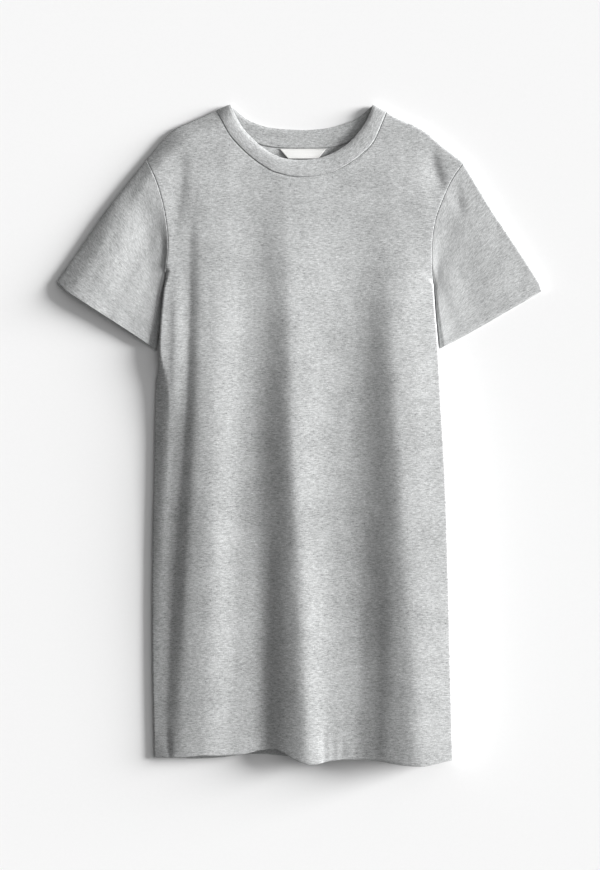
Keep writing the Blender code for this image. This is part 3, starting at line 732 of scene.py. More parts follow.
@dataclass
class ClothGrid:
    """A wall of cloth: middle points, the direction through it, thickness and pattern places."""

    middle: Array
    wall: Array
    thickness: Array
    pattern: Array
    looped: bool = False

    @property
    def outer(self) -> Array:
        """Points of the face that looks outwards."""
        return self.middle + self.wall * self.thickness[..., None] / 2

    @property
    def inner(self) -> Array:
        """Points of the face that looks inwards."""
        return self.middle - self.wall * self.thickness[..., None] / 2

    def line_at(self, distance: float, from_last_row: bool = False) -> Array:
        """Points of the outer face at a distance from the grid's first or last row.

        Args:
            distance: how far from that row, along the cloth.
            from_last_row: measured from the last row and not the first.

        Returns:
            One point for each column.
        """
        points = self.outer[::-1] if from_last_row else self.outer
        found = []
        for column in range(points.shape[1]):
            line = points[:, column]
            length = running_length(line)
            found.append([np.interp(distance, length, line[:, k]) for k in range(3)])
        return np.array(found)

    def piece(self, name: str, material: bpy.types.Material) -> bpy.types.Object:
        """The wall as one closed mesh with its pattern places as a UV map.

        Args:
            name: the piece's name.
            material: its finish.

        Returns:
            The new object.
        """
        rows, columns, _ = self.middle.shape
        count = rows * columns
        number = np.arange(count).reshape(rows, columns)
        if self.looped:
            number = np.concatenate([number, number[:, :1]], axis=1)
        spot = np.arange(self.pattern.shape[0] * self.pattern.shape[1]).reshape(self.pattern.shape[:2])

        def rim(edge: Array, depth: int) -> Array:
            """Squares between an edge of the outer face and the same edge of the inner one."""
            return np.stack([edge[1:], edge[:-1], edge[:-1] + depth, edge[1:] + depth], axis=-1)

        faces = [quads(number), quads(number)[:, ::-1] + count, rim(number[0], count),
                 rim(number[-1], count)[:, ::-1]]
        places = [quads(spot), quads(spot)[:, ::-1], rim(spot[0], 0), rim(spot[-1], 0)[:, ::-1]]
        if not self.looped:
            faces += [rim(number[:, 0], count)[:, ::-1], rim(number[:, -1], count)]
            places += [rim(spot[:, 0], 0)[:, ::-1], rim(spot[:, -1], 0)]
        vertices = np.vstack([self.outer.reshape(-1, 3), self.inner.reshape(-1, 3)])
        uv = self.pattern.reshape(-1, 2)[np.vstack(places).reshape(-1)]
        return new_piece(name, vertices * MM, np.vstack(faces), uv * MM, material)


def placed(name: str, data: bpy.types.ID) -> bpy.types.Object:
    """A new object in the scene that shows a mesh, a light or a camera.

    Args:
        name: its name.
        data: what it shows.

    Returns:
        The object.
    """
    item = bpy.data.objects.new(name, data)
    bpy.context.scene.collection.objects.link(item)
    return item


def new_piece(name: str, vertices: Array, faces: Array, uv: Array,
              material: bpy.types.Material) -> bpy.types.Object:
    """One smooth object with outward faces.

    Args:
        name: the piece's name.
        vertices: its points, in metres.
        faces: corner numbers of its squares.
        uv: pattern place of each corner of each square.
        material: its finish.

    Returns:
        The new object, in the scene.
    """
    mesh = bpy.data.meshes.new(name)
    mesh.from_pydata(vertices.tolist(), [], faces.tolist())
    layer = mesh.uv_layers.new(name="UVMap")
    layer.uv.foreach_set("vector", uv.astype(np.float32).reshape(-1))
    work = bmesh.new()
    work.from_mesh(mesh)
    bmesh.ops.recalc_face_normals(work, faces=work.faces)
    work.to_mesh(mesh)
    work.free()
    mesh.shade_smooth()
    mesh.materials.append(material)
    return placed(name, mesh)


def declare(piece: bpy.types.Object, node: str | None = None) -> None:
    """Put a piece on the dress, hide the frame's node that it stands for, if any, and report it.

    Args:
        piece: the piece.
        node: the frame's node that it stands for, if there is one.
    """
    if node:
        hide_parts(node)
    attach(piece, BODY)
    LOG.info("%s: %d faces", piece.name, len(piece.data.polygons))


def walls_of(middle: Array, looped: bool = False) -> Array:
    """Direction through the wall at each point of a grid.

    Args:
        middle: the grid's points.
        looped: whether its last column joins its first.

    Returns:
        One direction of length one for each point.
    """
    along = np.gradient(middle, axis=0)
    if looped:
        across = np.roll(middle, -1, axis=1) - np.roll(middle, 1, axis=1)
    else:
        across = np.gradient(middle, axis=1)
    return unit(np.cross(across, along))


# Finishes

class Sketch:
    """A material's nodes, with short calls to add and join them."""

    def __init__(self, name: str) -> None:
        """Start a material that has only its shader and output.

        Args:
            name: the material's name.
        """
        self.material = bpy.data.materials.new(name)
        self.material.use_nodes = True
        self.tree = self.material.node_tree
        self.shader = self.tree.nodes["Principled BSDF"]

    def add(self, kind: str, inputs: dict[str | int, object], **settings: object) -> bpy.types.Node:
        """Add a node.

        Args:
            kind: Blender's name of the node type.
            inputs: values of its sockets, or sockets that feed them.
            settings: properties of the node.

        Returns:
            The node.
        """
        node = self.tree.nodes.new(kind)
        for key, value in settings.items():
            setattr(node, key, value)
        for key, value in inputs.items():
            if isinstance(value, bpy.types.NodeSocket):
                self.tree.links.new(value, node.inputs[key])
            else:
                node.inputs[key].default_value = value
        return node

    def pattern_place(self, width: float, height: float) -> bpy.types.NodeSocket:
        """Pattern places on the cloth, counted in cells of this width and height in millimetres.

        Args:
            width: width of a cell.
            height: height of a cell.

        Returns:
            A socket with the places.
        """
        uv = self.add("ShaderNodeUVMap", {}, uv_map="UVMap")
        scale = (1 / (width * MM), 1 / (height * MM), 1.0)
        mapping = self.add("ShaderNodeMapping", {"Vector": uv.outputs["UV"], "Scale": scale})
        return mapping.outputs["Vector"]

    def specks(self, width: float, height: float, detail: float, seed: float) -> bpy.types.NodeSocket:
        """Soft random specks of this size in millimetres.

        Args:
            width: how wide they are.
            height: how tall they are.
            detail: how many finer layers.
            seed: which of the random patterns.

        Returns:
            A socket with their strength.
        """
        node = self.add("ShaderNodeTexNoise", {
            "Vector": self.pattern_place(width, height), "W": seed, "Scale": 1.0, "Detail": detail,
            "Roughness": 0.55}, noise_dimensions="4D")
        return node.outputs["Fac"]

    def wave(self, place: bpy.types.NodeSocket, axis: str) -> bpy.types.NodeSocket:
        """A sine of one whole turn for each cell along an axis.

        Args:
            place: pattern places, in cells.
            axis: X or Y.

        Returns:
            A socket with the sine.
        """
        split = self.add("ShaderNodeSeparateXYZ", {"Vector": place})
        turns = self.add("ShaderNodeMath", {0: split.outputs[axis], 1: 2 * math.pi}, operation="MULTIPLY")
        return self.add("ShaderNodeMath", {0: turns.outputs[0]}, operation="SINE").outputs[0]

    def blend(self, parts: list[tuple[bpy.types.NodeSocket, float]]) -> bpy.types.NodeSocket:
        """Sum of sockets, each times its own share.

        Args:
            parts: each socket with its share.

        Returns:
            A socket with the sum.
        """
        total = None
        for socket, share in parts:
            inputs = {0: socket, 1: share, 2: total or 0.0}
            total = self.add("ShaderNodeMath", inputs, operation="MULTIPLY_ADD").outputs[0]
        return total

    def paint(self, factor: bpy.types.NodeSocket,
              stops: tuple[tuple[float, tuple[float, float, float]], ...]) -> None:
        """Colour the shader by a ramp from 0 to 1.

        Args:
            factor: what chooses the colour.
            stops: each place on the ramp with its colour.
        """
        node = self.add("ShaderNodeValToRGB", {"Fac": factor})
        elements = node.color_ramp.elements
        while len(elements) < len(stops):
            elements.new(0.5)
        for element, (place, colour) in zip(elements, stops):
            element.position = place
            element.color = (*colour, 1.0)
        self.tree.links.new(node.outputs["Color"], self.shader.inputs["Base Color"])

    def bump(self, height: bpy.types.NodeSocket, distance: float, strength: float) -> None:
        """Give the shader a relief of this height in millimetres."""
        node = self.add("ShaderNodeBump", {"Height": height, "Strength": strength, "Distance": distance * MM})
        self.tree.links.new(node.outputs["Normal"], self.shader.inputs["Normal"])

    def constants(self, **values: object) -> None:
        """Set the shader's own sockets; a name's words are joined by underscores."""
        for key, value in values.items():
            self.shader.inputs[key.replace("_", " ")].default_value = value


@dataclass(frozen=True)
class HeatherJersey:
    """Melange jersey: short streaks along the courses, flecks of darker and paler fibre, fine wales."""

    name: str
    level: float = 0.475
    contrast: float = 1.8
    wale: float = 1.15
    course: float = 0.85
    streak: tuple[float, float] = (5.2, 1.3)
    fleck: tuple[float, float] = (1.7, 1.1)
    cloud: tuple[float, float] = (60.0, 34.0)
    tint: tuple[float, float, float] = (0.985, 1.0, 1.0)
    shades: tuple[tuple[float, float], ...] = ((0.30, 0.60), (0.43, 0.88), (0.50, 1.0), (0.58, 1.13),
                                               (0.70, 1.38))

    def material(self) -> bpy.types.Material:
        """The finish as a node material.

        Returns:
            The new material.
        """
        sketch = Sketch(self.name)
        streaks = sketch.specks(*self.streak, 2.5, 1.3)
        flecks = sketch.specks(*self.fleck, 2.0, 7.9)
        clouds = sketch.specks(*self.cloud, 1.0, 4.4)
        melange = sketch.blend([(streaks, 0.50), (flecks, 0.40), (clouds, 0.10)])
        middle = np.array(self.tint) * self.level

        def shade(share: float) -> tuple[float, float, float]:
            """The yarn's colour at a share of its middle level."""
            return tuple(float(v) for v in middle * (1 + (share - 1) * self.contrast))

        sketch.paint(melange, tuple((place, shade(share)) for place, share in self.shades))
        place = sketch.pattern_place(self.wale, self.course)
        relief = sketch.blend([(sketch.wave(place, "X"), 0.05), (sketch.wave(place, "Y"), 0.04),
                               (sketch.specks(1.1, 0.8, 3.0, 2.2), 0.8), (streaks, 0.35)])
        sketch.bump(relief, 0.20, 0.8)
        sketch.constants(Roughness=0.95, Sheen_Weight=0.10, Sheen_Roughness=0.55, Specular_IOR_Level=0.25)
        return sketch.material


@dataclass(frozen=True)
class WovenLabel:
    """White satin-woven tape, left blank."""

    name: str = "white_woven_label"
    thread: float = 0.45

    def material(self) -> bpy.types.Material:
        """The finish as a node material.

        Returns:
            The new material.
        """
        sketch = Sketch(self.name)
        place = sketch.pattern_place(self.thread, self.thread)
        specks = sketch.specks(0.9, 0.5, 2.0, 5.1)
        sketch.paint(specks, ((0.3, (0.74, 0.74, 0.725)), (0.7, (0.86, 0.86, 0.845))))
        relief = sketch.blend([(sketch.wave(place, "X"), 0.4), (sketch.wave(place, "Y"), 0.4),
                               (specks, 0.5)])
        sketch.bump(relief, 0.12, 0.7)
        sketch.constants(Roughness=0.5, Sheen_Weight=0.15, Specular_IOR_Level=0.4)
        return sketch.material


@dataclass(frozen=True)
class SewingThread:
    """Spun thread dyed close to the cloth."""

    name: str
    colour: tuple[float, float, float]

    def material(self) -> bpy.types.Material:
        """The finish as a node material.

        Returns:
            The new material.
        """
        sketch = Sketch(self.name)
        place = sketch.add("ShaderNodeTexCoord", {}).outputs["Object"]
        fibres = sketch.add("ShaderNodeTexNoise", {"Vector": place, "Scale": 2600.0, "Detail": 2.0})
        dark = tuple(0.86 * v for v in self.colour)
        light = tuple(1.1 * v for v in self.colour)
        sketch.paint(fibres.outputs["Fac"], ((0.35, dark), (0.65, light)))
        sketch.bump(fibres.outputs["Fac"], 0.05, 0.6)
        sketch.constants(Roughness=0.7, Sheen_Weight=0.1, Specular_IOR_Level=0.3)
        return sketch.material


@dataclass(frozen=True)
class PaleFloor:
    """Plain matt studio floor."""

    name: str = "pale_floor"
    level: float = 0.89

    def material(self) -> bpy.types.Material:
        """The finish as a node material.

        Returns:
            The new material.
        """
        sketch = Sketch(self.name)
        place = sketch.add("ShaderNodeTexCoord", {}).outputs["Object"]
        grain = sketch.add("ShaderNodeTexNoise", {"Vector": place, "Scale": 240.0, "Detail": 2.0})
        low = (self.level - 0.004,) * 3
        high = (self.level + 0.004,) * 3
        sketch.paint(grain.outputs["Fac"], ((0.3, low), (0.7, high)))
        sketch.constants(Roughness=0.95, Specular_IOR_Level=0.1)
        return sketch.material


# Pieces

class JerseyPart:
    """A part that is one wall of jersey."""

    name: str

    def grid(self) -> ClothGrid:
        """The part's wall of cloth."""
        raise NotImplementedError

    def build(self, material: bpy.types.Material) -> tuple[bpy.types.Object, ClothGrid]:
        """The part's piece, which stands for its node, and its grid.

        Args:
            material: its finish.

        Returns:
            The new object and the grid.
        """
        grid = self.grid()
        piece = grid.piece(f"{self.name}_cloth", material)
        declare(piece, self.name)
        return piece, grid


@dataclass
class BodyPanel(JerseyPart):
    """The front or the back of the dress, from hem to shoulders, between both armholes."""

    name: str
    layer: Layer
    form: DressForm
    neck: SeamRing
    armholes: dict[Hand, SeamRing]
    length_spans: int
    shoulder_spans: int
    cut: tuple[float, float]
    cut_area: float
    chest_beside_neck: float = 42.0
    chest_to_neck: float = 150.0
    neck_even_columns: int = 9
    armhole_reach: int = 9

    def plan(self, seams: dict[Hand, SeamRing], neck: SeamRing) -> tuple[Array, int]:
        """Places of the panel's points, seen from above.

        Args:
            seams: the panel's half of each armhole's ring.
            neck: its half of the neckline's ring.

        Returns:
            A grid of points from the hem up, and the number of the neckline's last column.
        """
        upper = self.layer is Layer.UPPER
        edge = EDGE_STEPS if upper else LOWER_EDGE_STEPS
        spans = self.shoulder_spans
        shoulders = {hand: line.at(stations(line.length, spans, edge, PLAIN))
                     for hand, line in SHOULDERS.items()}
        top = np.vstack([shoulders[Hand.LEFT], neck.points[1:-1, :2], shoulders[Hand.RIGHT][::-1]])
        last_neck = len(top) - 1 - spans
        left_armpit = np.array(ARMPITS[Hand.LEFT])
        right_armpit = np.array(ARMPITS[Hand.RIGHT])
        width = right_armpit[0] - left_armpit[0]
        beside = stations(self.chest_beside_neck, spans, edge, PLAIN) * self.chest_beside_neck / width
        below = np.linspace(beside[-1], 1 - beside[-1], last_neck - spans + 1)
        share = np.concatenate([beside, below[1:-1], 1 - beside[::-1]])
        chest = left_armpit + share[:, None] * (right_armpit - left_armpit)
        sides = {hand: self.form.side_line(hand) for hand in Hand}
        up = stations(sides[Hand.LEFT].length, self.length_spans, HEM_STEPS, PLAIN)
        left = sides[Hand.LEFT].at(up)
        right = sides[Hand.RIGHT].at(up)
        hem_x = left[0, 0] + share * (right[0, 0] - left[0, 0])
        hem = np.column_stack([hem_x, HEMS.read("front" if upper else "back", hem_x)])
        left[0] = hem[0]
        right[0] = hem[-1]
        skirt = coons(left, right, hem, chest)
        column = np.arange(len(top))
        even = ease(np.minimum(column - spans, last_neck - column) / self.neck_even_columns)
        arms = {hand: seam.points[::-1, :2] for hand, seam in seams.items()}
        rows = stations(self.chest_to_neck, len(arms[Hand.LEFT]) - 1, PLAIN, YOKE_STEPS)
        yoke = coons(arms[Hand.LEFT], arms[Hand.RIGHT], chest, top, self.armhole_reach, even, rows)
        return np.vstack([skirt[:-1], yoke]), last_neck

    def grid(self) -> ClothGrid:
        """The panel's wall of cloth.

        Returns:
            Its grid, from hem to shoulders.
        """
        upper = self.layer is Layer.UPPER
        seams = {hand: ring.half(self.layer) for hand, ring in self.armholes.items()}
        neck = self.neck.half(self.layer)
        plan, last_neck = self.plan(seams, neck)
        spans = self.shoulder_spans
        middle = DressForm.raised(plan, self.form.front if upper else self.form.back)
        middle[..., :2] = self.form.overhung(plan, upper)
        pattern = self.pattern(middle)
        wall = walls_of(middle) * self.layer.value
        below_arm = slice(0, self.length_spans)
        self.set_folded(middle[:, 0], wall[:, 0], below_arm)
        self.set_folded(middle[:, -1], wall[:, -1], below_arm)
        self.set_folded(middle[-1], wall[-1], slice(1, spans))
        self.set_folded(middle[-1], wall[-1], slice(last_neck + 1, plan.shape[1] - 1))
        for hand, edge_column in ((Hand.LEFT, 0), (Hand.RIGHT, -1)):
            self.set_seam(middle[self.length_spans:, edge_column],
                          wall[self.length_spans:, edge_column], seams[hand], True)
        neck_row = slice(spans, last_neck + 1)
        self.set_seam(middle[-1, neck_row], wall[-1, neck_row], neck, False)
        from_hem = np.hypot(*(plan - plan[:1]).transpose(2, 0, 1))
        full = edge_fullness(from_hem, HEM_ROUND, HEM_BLUNT)
        seams_here = (*ARMHOLES.values(), FRONT_NECK_SEAM if upper else BACK_NECK_SEAM)
        from_seam = np.min([line.nearest(plan[..., 0], plan[..., 1])[0] for line in seams_here], axis=0)
        return ClothGrid(middle, wall, CLOTH * full * seam_fullness(from_seam), pattern)

    def pattern(self, middle: Array) -> Array:
        """Pattern places that follow the cloth over its folds, from the panel's middle column.

        Args:
            middle: the panel's points.

        Returns:
            A place for each point.
        """
        step = np.diff(middle, axis=1)
        run = np.hypot(step[..., 0], step[..., 2]) * np.sign(step[..., 0])
        across = np.concatenate([np.zeros((len(middle), 1)), np.cumsum(run, axis=1)], axis=1)
        centre = middle.shape[1] // 2
        across = across - across[:, centre:centre + 1] + middle[:, centre:centre + 1, 0]
        return np.stack([across * self.layer.value, middle[..., 1]], axis=-1)

    def set_folded(self, points: Array, walls: Array, chosen: slice) -> None:
        """Put a folded edge at seam height, just clear of the other panel, facing outwards.

        Args:
            points: the edge's points, which are changed.
            walls: its directions through the wall.
            chosen: which of them lie on the fold.
        """
        run = unit(np.gradient(points[:, :2], axis=0))
        outward = np.stack([-run[:, 1], run[:, 0], np.zeros(len(run))], axis=1)
        outward *= np.sign((outward * points).sum(1))[:, None]
        points[chosen, 2] = self.form.seam_height + self.layer.value * SEAM_GAP / 2
        walls[chosen] = outward[chosen]

    def set_seam(self, points: Array, walls: Array, seam: SeamRing, reverse: bool) -> None:
        """Put an edge of the panel on its seam, with the wall that both pieces share.

        Args:
            points: the edge's points, which are changed.
            walls: its directions through the wall.
            seam: the panel's half of the seam.
            reverse: whether the edge runs against the seam.
        """
        order = slice(None, None, -1) if reverse else slice(None)
        points[:] = (seam.points + seam.across * SEAM_GAP / 2)[order]
        points[[0, -1], 2] = self.form.seam_height + self.layer.value * SEAM_GAP / 2
        walls[:] = seam.wall[order]


SLEEVE_COLUMNS = ("along", "outer", "ridge", "middle", "inner", "underarm")
SLEEVE_SHARES = (0.0, 0.3, 0.55, 0.8, 1.0)


@dataclass
class Sleeve(JerseyPart):
    """A short set-in sleeve: one tube of two layers, from its armhole to its open cuff."""

    hand: Hand
    form: DressForm
    seam: SeamRing
    fold: Line
    hem: Line
    rows: Table
    creases: tuple[Crease, ...]
    tuck: float
    cut: tuple[float, float] = (0.385, 0.215)
    cut_area: float = 0.050
    rings: int = 66
    outer_turn: float = 2.4
    inner_turn: float = 5.0
    fold_drop: float = 0.5
    flap_rise: float = 0.8
    flap_roll: float = 4.0
    full_flap_tuck: float = 3.0
    tuck_growth: float = 0.4
    tuck_start: float = 0.2
    ripple_sizes: tuple[float, float] = (24.0, 11.0)
    underarm_clear: float = 1.6
    underarm_levels: tuple[float, ...] = (190.0, 165.0, 138.0)
    seam_blend: float = 45.0
    cuff_show: float = 2.4
    pattern_shift: float = 300.0

    @property
    def name(self) -> str:
        """Name of the node that the sleeve stands for."""
        return f"sleeve_{self.hand.name.lower()}"

    def underarm(self) -> Line:
        """The underarm fold, close beside the body's side, from the armpit to the cuff.

        Returns:
            The fold's line.
        """
        clear = self.hand.value * self.underarm_clear
        column = self.hand.name.lower()
        between = [(float(SIDES.read(column, y)) + clear, y) for y in self.underarm_levels]
        return Line((ARMPITS[self.hand], *between, self.hem.points[-1]))

    def height(self, ring: Array, share: float, tuck: float) -> Array:
        """Heights of the upper layer along one ring, from the outer fold to the underarm.

        Args:
            ring: the ring's points, seen from above.
            share: how far down the sleeve it is.
            tuck: width of the hollow beside the body there.

        Returns:
            The height at each point.
        """
        x, y = ring[:, 0], ring[:, 1]
        tops = [self.rows.read(column, share) for column in SLEEVE_COLUMNS[1:]]
        from_fold = np.hypot(x - x[0], y - y[0])
        from_underarm = np.hypot(x - x[-1], y - y[-1])
        across = from_fold / (from_fold + from_underarm)
        full = level_at_knots(list(SLEEVE_SHARES), tops, across, (1.0,) * 4)
        full = full + sum(crease.rise(x, y) for crease in self.creases)
        full = full + self.form.rippled(x, y, self.ripple_sizes)
        rise = self.flap_rise * min(1.0, tuck / self.full_flap_tuck)
        flap = np.minimum(roll(from_fold, self.flap_roll), roll(from_underarm, self.flap_roll))
        low = self.fold_height(across, share) + rise * flap
        beyond = np.maximum(from_underarm - tuck, 0.0)
        turn = swell if self.hand is Hand.LEFT else roll
        lift = np.minimum(turn(from_fold, self.outer_turn), turn(beyond, self.inner_turn))
        return low + (full - low) * lift

    def fold_height(self, across: Array, share: float) -> Array:
        """Height at which both layers meet: it drops towards the underarm fold, away from the armpit."""
        return self.form.seam_height - self.fold_drop * across * ease(share / 0.3)

    def ring(self, over: Array, under: Array, share: float, start: Array) -> Array:
        """Points of the cloth's middle all round one ring of the tube.

        Args:
            over: its upper half, seen from above.
            under: its lower half, seen from above.
            share: how far down the sleeve it is.
            start: heights of the armhole's upper half, which the ring takes near the seam.

        Returns:
            The upper half's points, then those of the lower half from its far end.
        """
        tuck = self.tuck * share ** self.tuck_growth
        line = Line(tuple(map(tuple, over)))
        steps = (*(part * tuck for part in TUCK_SHARES), *(tuck + step for step in TUCK_STEPS))
        tucked = stations(line.length, len(over) - 1, EDGE_STEPS, steps)
        kept = running_length(over) / running_length(over)[-1]
        moved = ease(share / self.tuck_start) * min(1.0, 2 * tuck / self.full_flap_tuck)
        over = line.at(kept + (tucked - kept) * moved)
        blend = ease(share * self.fold.length / self.seam_blend)
        level = start * (1 - blend) + self.height(over, share, tuck) * blend
        out = np.hypot(*(under - under[0]).T)
        inner = np.hypot(*(under - under[-1]).T)
        across = out / (out + inner)
        rise = np.minimum(roll(out, self.form.back_roll), roll(inner, self.form.back_roll))
        outwards = unit(np.subtract(self.fold.points[-1], self.fold.points[0]))
        plan = under + (self.cuff_show * share ** 2 * np.sin(math.pi * across))[:, None] * outwards
        fold = self.fold_height(across, share)
        depth = fold - (fold - self.form.back_level) * rise
        return np.vstack([np.column_stack([over, level]), np.column_stack([plan, depth])[-2:0:-1]])

    def grid(self) -> ClothGrid:
        """The sleeve's wall of cloth.

        Returns:
            Its grid, looped round the tube.
        """
        count = self.seam.upper_count
        length = self.fold.length
        along = stations(length, self.rings, EDGE_STEPS, HEM_STEPS)
        fold_line = self.fold.at(along)
        underarm_edge = self.underarm().at(along)
        upper_half = self.seam.half(Layer.UPPER)
        lower_half = self.seam.half(Layer.LOWER)
        lower_count = len(lower_half.points)
        shares = stations(self.hem.length, count - 1, EDGE_STEPS, ARMPIT_STEPS)
        upper_hem = self.hem.at(shares)
        lower_hem = self.hem.at(stations(self.hem.length, lower_count - 1, LOWER_EDGE_STEPS,
                                         LOWER_ARMPIT_STEPS))
        upper = coons(fold_line, underarm_edge, upper_half.points[:, :2], upper_hem)
        lower = coons(fold_line, underarm_edge, lower_half.points[:, :2], lower_hem)
        start = upper_half.points[:, 2]
        rings = [self.ring(over, under, share, start) for over, under, share in zip(upper, lower, along)]
        middle = np.array(rings)
        wall = walls_of(middle, looped=True)
        if wall[1, count // 2, 2] < 0:
            wall = -wall
        middle[0] = self.seam.points - self.seam.across * SEAM_GAP / 2
        wall[0] = self.seam.wall
        full = edge_fullness((1 - along) * length, HEM_ROUND, HEM_BLUNT)
        full = full * seam_fullness(along * length)
        thickness = np.repeat(full[:, None] * CLOTH, middle.shape[1], axis=1)
        return ClothGrid(middle, wall, thickness, self.pattern(middle, along * length), looped=True)

    def pattern(self, middle: Array, down: Array) -> Array:
        """Pattern places with courses that run parallel to the cuff.

        Args:
            middle: the sleeve's points.
            down: each ring's distance from the armhole.

        Returns:
            A place for each point, with the first column again at the end.
        """
        closed = np.concatenate([middle, middle[:, :1]], axis=1)
        round_it = np.array([running_length(ring) for ring in closed])
        away = np.repeat(down[:, None], closed.shape[1], axis=1)
        return np.stack([round_it + self.pattern_shift * self.hand.value, away], axis=-1)


@dataclass
class Neckband:
    """The doubled strip of self fabric round the neck: one soft section carried round the neckline."""

    form: DressForm
    seam: SeamRing
    cut: tuple[float, float] = (0.60, 0.024)
    band: float = 2.4
    front_heights: tuple[float, float] = (9.6, 7.6)
    neck_roll: float = 8.0
    puff: float = 0.5
    pressed: float = 0.45
    press_start: float = 0.82
    press_width: float = 0.16
    fold_start: float = 0.975
    sewn_width: float = 0.03
    pattern_shift: float = 700.0
    section: tuple[float, ...] = (0.0, 0.025, 0.06, 0.13, 0.21, 0.3, 0.4, 0.5, 0.6, 0.7, 0.79, 0.86,
                                  0.92, 0.96, 0.978, 0.99, 0.997)

    def level(self, line: Line, shares: Array, top: Array | float, bottom: float,
              radius: float) -> Array:
        """Heights along half of the folded edge, which turns over at both neck points."""
        from_end = np.minimum(shares, 1 - shares) * line.length
        return bottom + (top - bottom) * roll(from_end, radius)

    def edge(self) -> SeamRing:
        """The ring of the band's folded edge.

        Returns:
            The ring, which runs like the neckline's.
        """
        over = stations(FRONT_BAND_EDGE.length, self.form.neck_spans[0])
        under = stations(BACK_BAND_EDGE.length, self.form.neck_spans[1])
        low = self.form.seam_height
        start, end = self.front_heights
        front = self.level(FRONT_BAND_EDGE, over, start + (end - start) * over, low, self.neck_roll)
        back = self.level(BACK_BAND_EDGE, under, self.band / 2, low, self.form.back_roll)
        return self.form.ring(np.column_stack([FRONT_BAND_EDGE.at(over), front]),
                              np.column_stack([BACK_BAND_EDGE.at(under), back]), -1)

    def fullness(self, station: float) -> float:
        """Share of the band's thickness at a share of its width: pressed thin towards its folded edge.

        Args:
            station: share of the band's width, from its seam.

        Returns:
            The share, from 0 to 1.
        """
        pressed = 1 - self.pressed * float(ease((station - self.press_start) / self.press_width))
        into_fold = max(0.0, (station - self.fold_start) / (1 - self.fold_start))
        folded = pressed * math.sqrt(max(0.0, 1 - into_fold ** 2))
        sewn = SEAM_THIN + (1 - SEAM_THIN) * float(ease(station / self.sewn_width))
        return min(folded, sewn)

    def rows(self) -> Array:
        """Rings of the band's surface: up its outer face, round its folded edge and down its inner face.

        Returns:
            A grid of points, ring by ring.
        """
        edge = self.edge()
        foot = self.seam.points - self.seam.across * SEAM_GAP / 2
        foot[:, 2] = np.maximum(foot[:, 2], self.band / 2)
        outer = []
        inner = []
        for station in self.section:
            middle = foot + station * (edge.points - foot)
            through = unit(self.seam.wall + station * (edge.wall - self.seam.wall))
            upwards = np.clip(through[:, 2:], 0.0, 1.0)
            middle = middle + through * upwards * self.puff * math.sin(math.pi * station)
            half = through * self.band / 2 * self.fullness(station)
            outer.append(middle + half)
            inner.append(middle - half)
        return np.array(outer + [edge.points] + inner[::-1])

    def build(self, material: bpy.types.Material) -> bpy.types.Object:
        """The band's piece, which stands for its node.

        Args:
            material: its finish.

        Returns:
            The new object.
        """
        rows = self.rows()
        count, columns, _ = rows.shape
        number = np.arange(count * columns).reshape(count, columns)
        number = np.pad(number, ((0, 1), (0, 1)), mode="wrap")
        closed = np.pad(rows, ((0, 1), (0, 1), (0, 0)), mode="wrap")
        round_it = running_length(closed[0])
        across = running_length(closed[:, columns // 4])
        pattern = np.stack(np.broadcast_arrays(round_it, across[:, None] + self.pattern_shift), axis=-1)
        spot = np.arange(pattern.shape[0] * pattern.shape[1]).reshape(pattern.shape[:2])
        uv = pattern.reshape(-1, 2)[quads(spot).reshape(-1)]
        piece = new_piece("neckband_cloth", rows.reshape(-1, 3) * MM, quads(number), uv * MM, material)
        declare(piece, "neckband")
        return piece


@dataclass
class Label:
    """The blank folded label at the back neck seam, its lower corners a little off the back."""

    top_y: float = 381.2
    bottom_y: float = 367.6
    top: tuple[float, float] = (-27.5, 35.0)
    bottom: tuple[float, float] = (-16.0, 24.6)
    tape: float = 0.8
    rest: float = 2.3
    lift: float = 2.2
    bow: float = 0.5
    stitch_dip: float = 0.35
    stitch_place: float = 0.16
    stitch_width: float = 0.05
    edge_round: float = 0.5
    edge_blunt: float = 0.15
    cut: tuple[float, float] = (0.0625, 0.0136)
    rows: int = 28
    columns: int = 64

    def grid(self) -> ClothGrid:
        """The label's wall of tape.

        Returns:
            Its grid.
        """
        down = np.linspace(0, 1, self.rows)[:, None]
        across = np.linspace(0, 1, self.columns)[None, :]
        left = self.top[0] + down * (self.bottom[0] - self.top[0])
        right = self.top[1] + down * (self.bottom[1] - self.top[1])
        x = left + across * (right - left)
        y = self.top_y + down * (self.bottom_y - self.top_y) + 0 * across
        z = self.rest + self.lift * ease(down) + self.bow * np.sin(math.pi * across) * down
        z = z - self.stitch_dip * np.exp(-((down - self.stitch_place) / self.stitch_width) ** 2)
        middle = np.stack([x, y, z + 0 * x], axis=-1)
        wall = walls_of(middle)
        wall = wall * np.sign(wall[..., 2:])
        edge = np.minimum(np.minimum(x - left, right - x), (1 - down) * (self.top_y - self.bottom_y))
        full = edge_fullness(edge, self.edge_round, self.edge_blunt)
        return ClothGrid(middle, wall, self.tape * full, middle[..., :2])

    def build(self, material: bpy.types.Material) -> bpy.types.Object:
        """The label's piece, which stands for its node.

        Args:
            material: its finish.

        Returns:
            The new object.
        """
        piece = self.grid().piece("label_tape", material)
        declare(piece, "label")
        return piece


# Sewing: the Geometry Nodes that lay stitches, and which socket feeds which

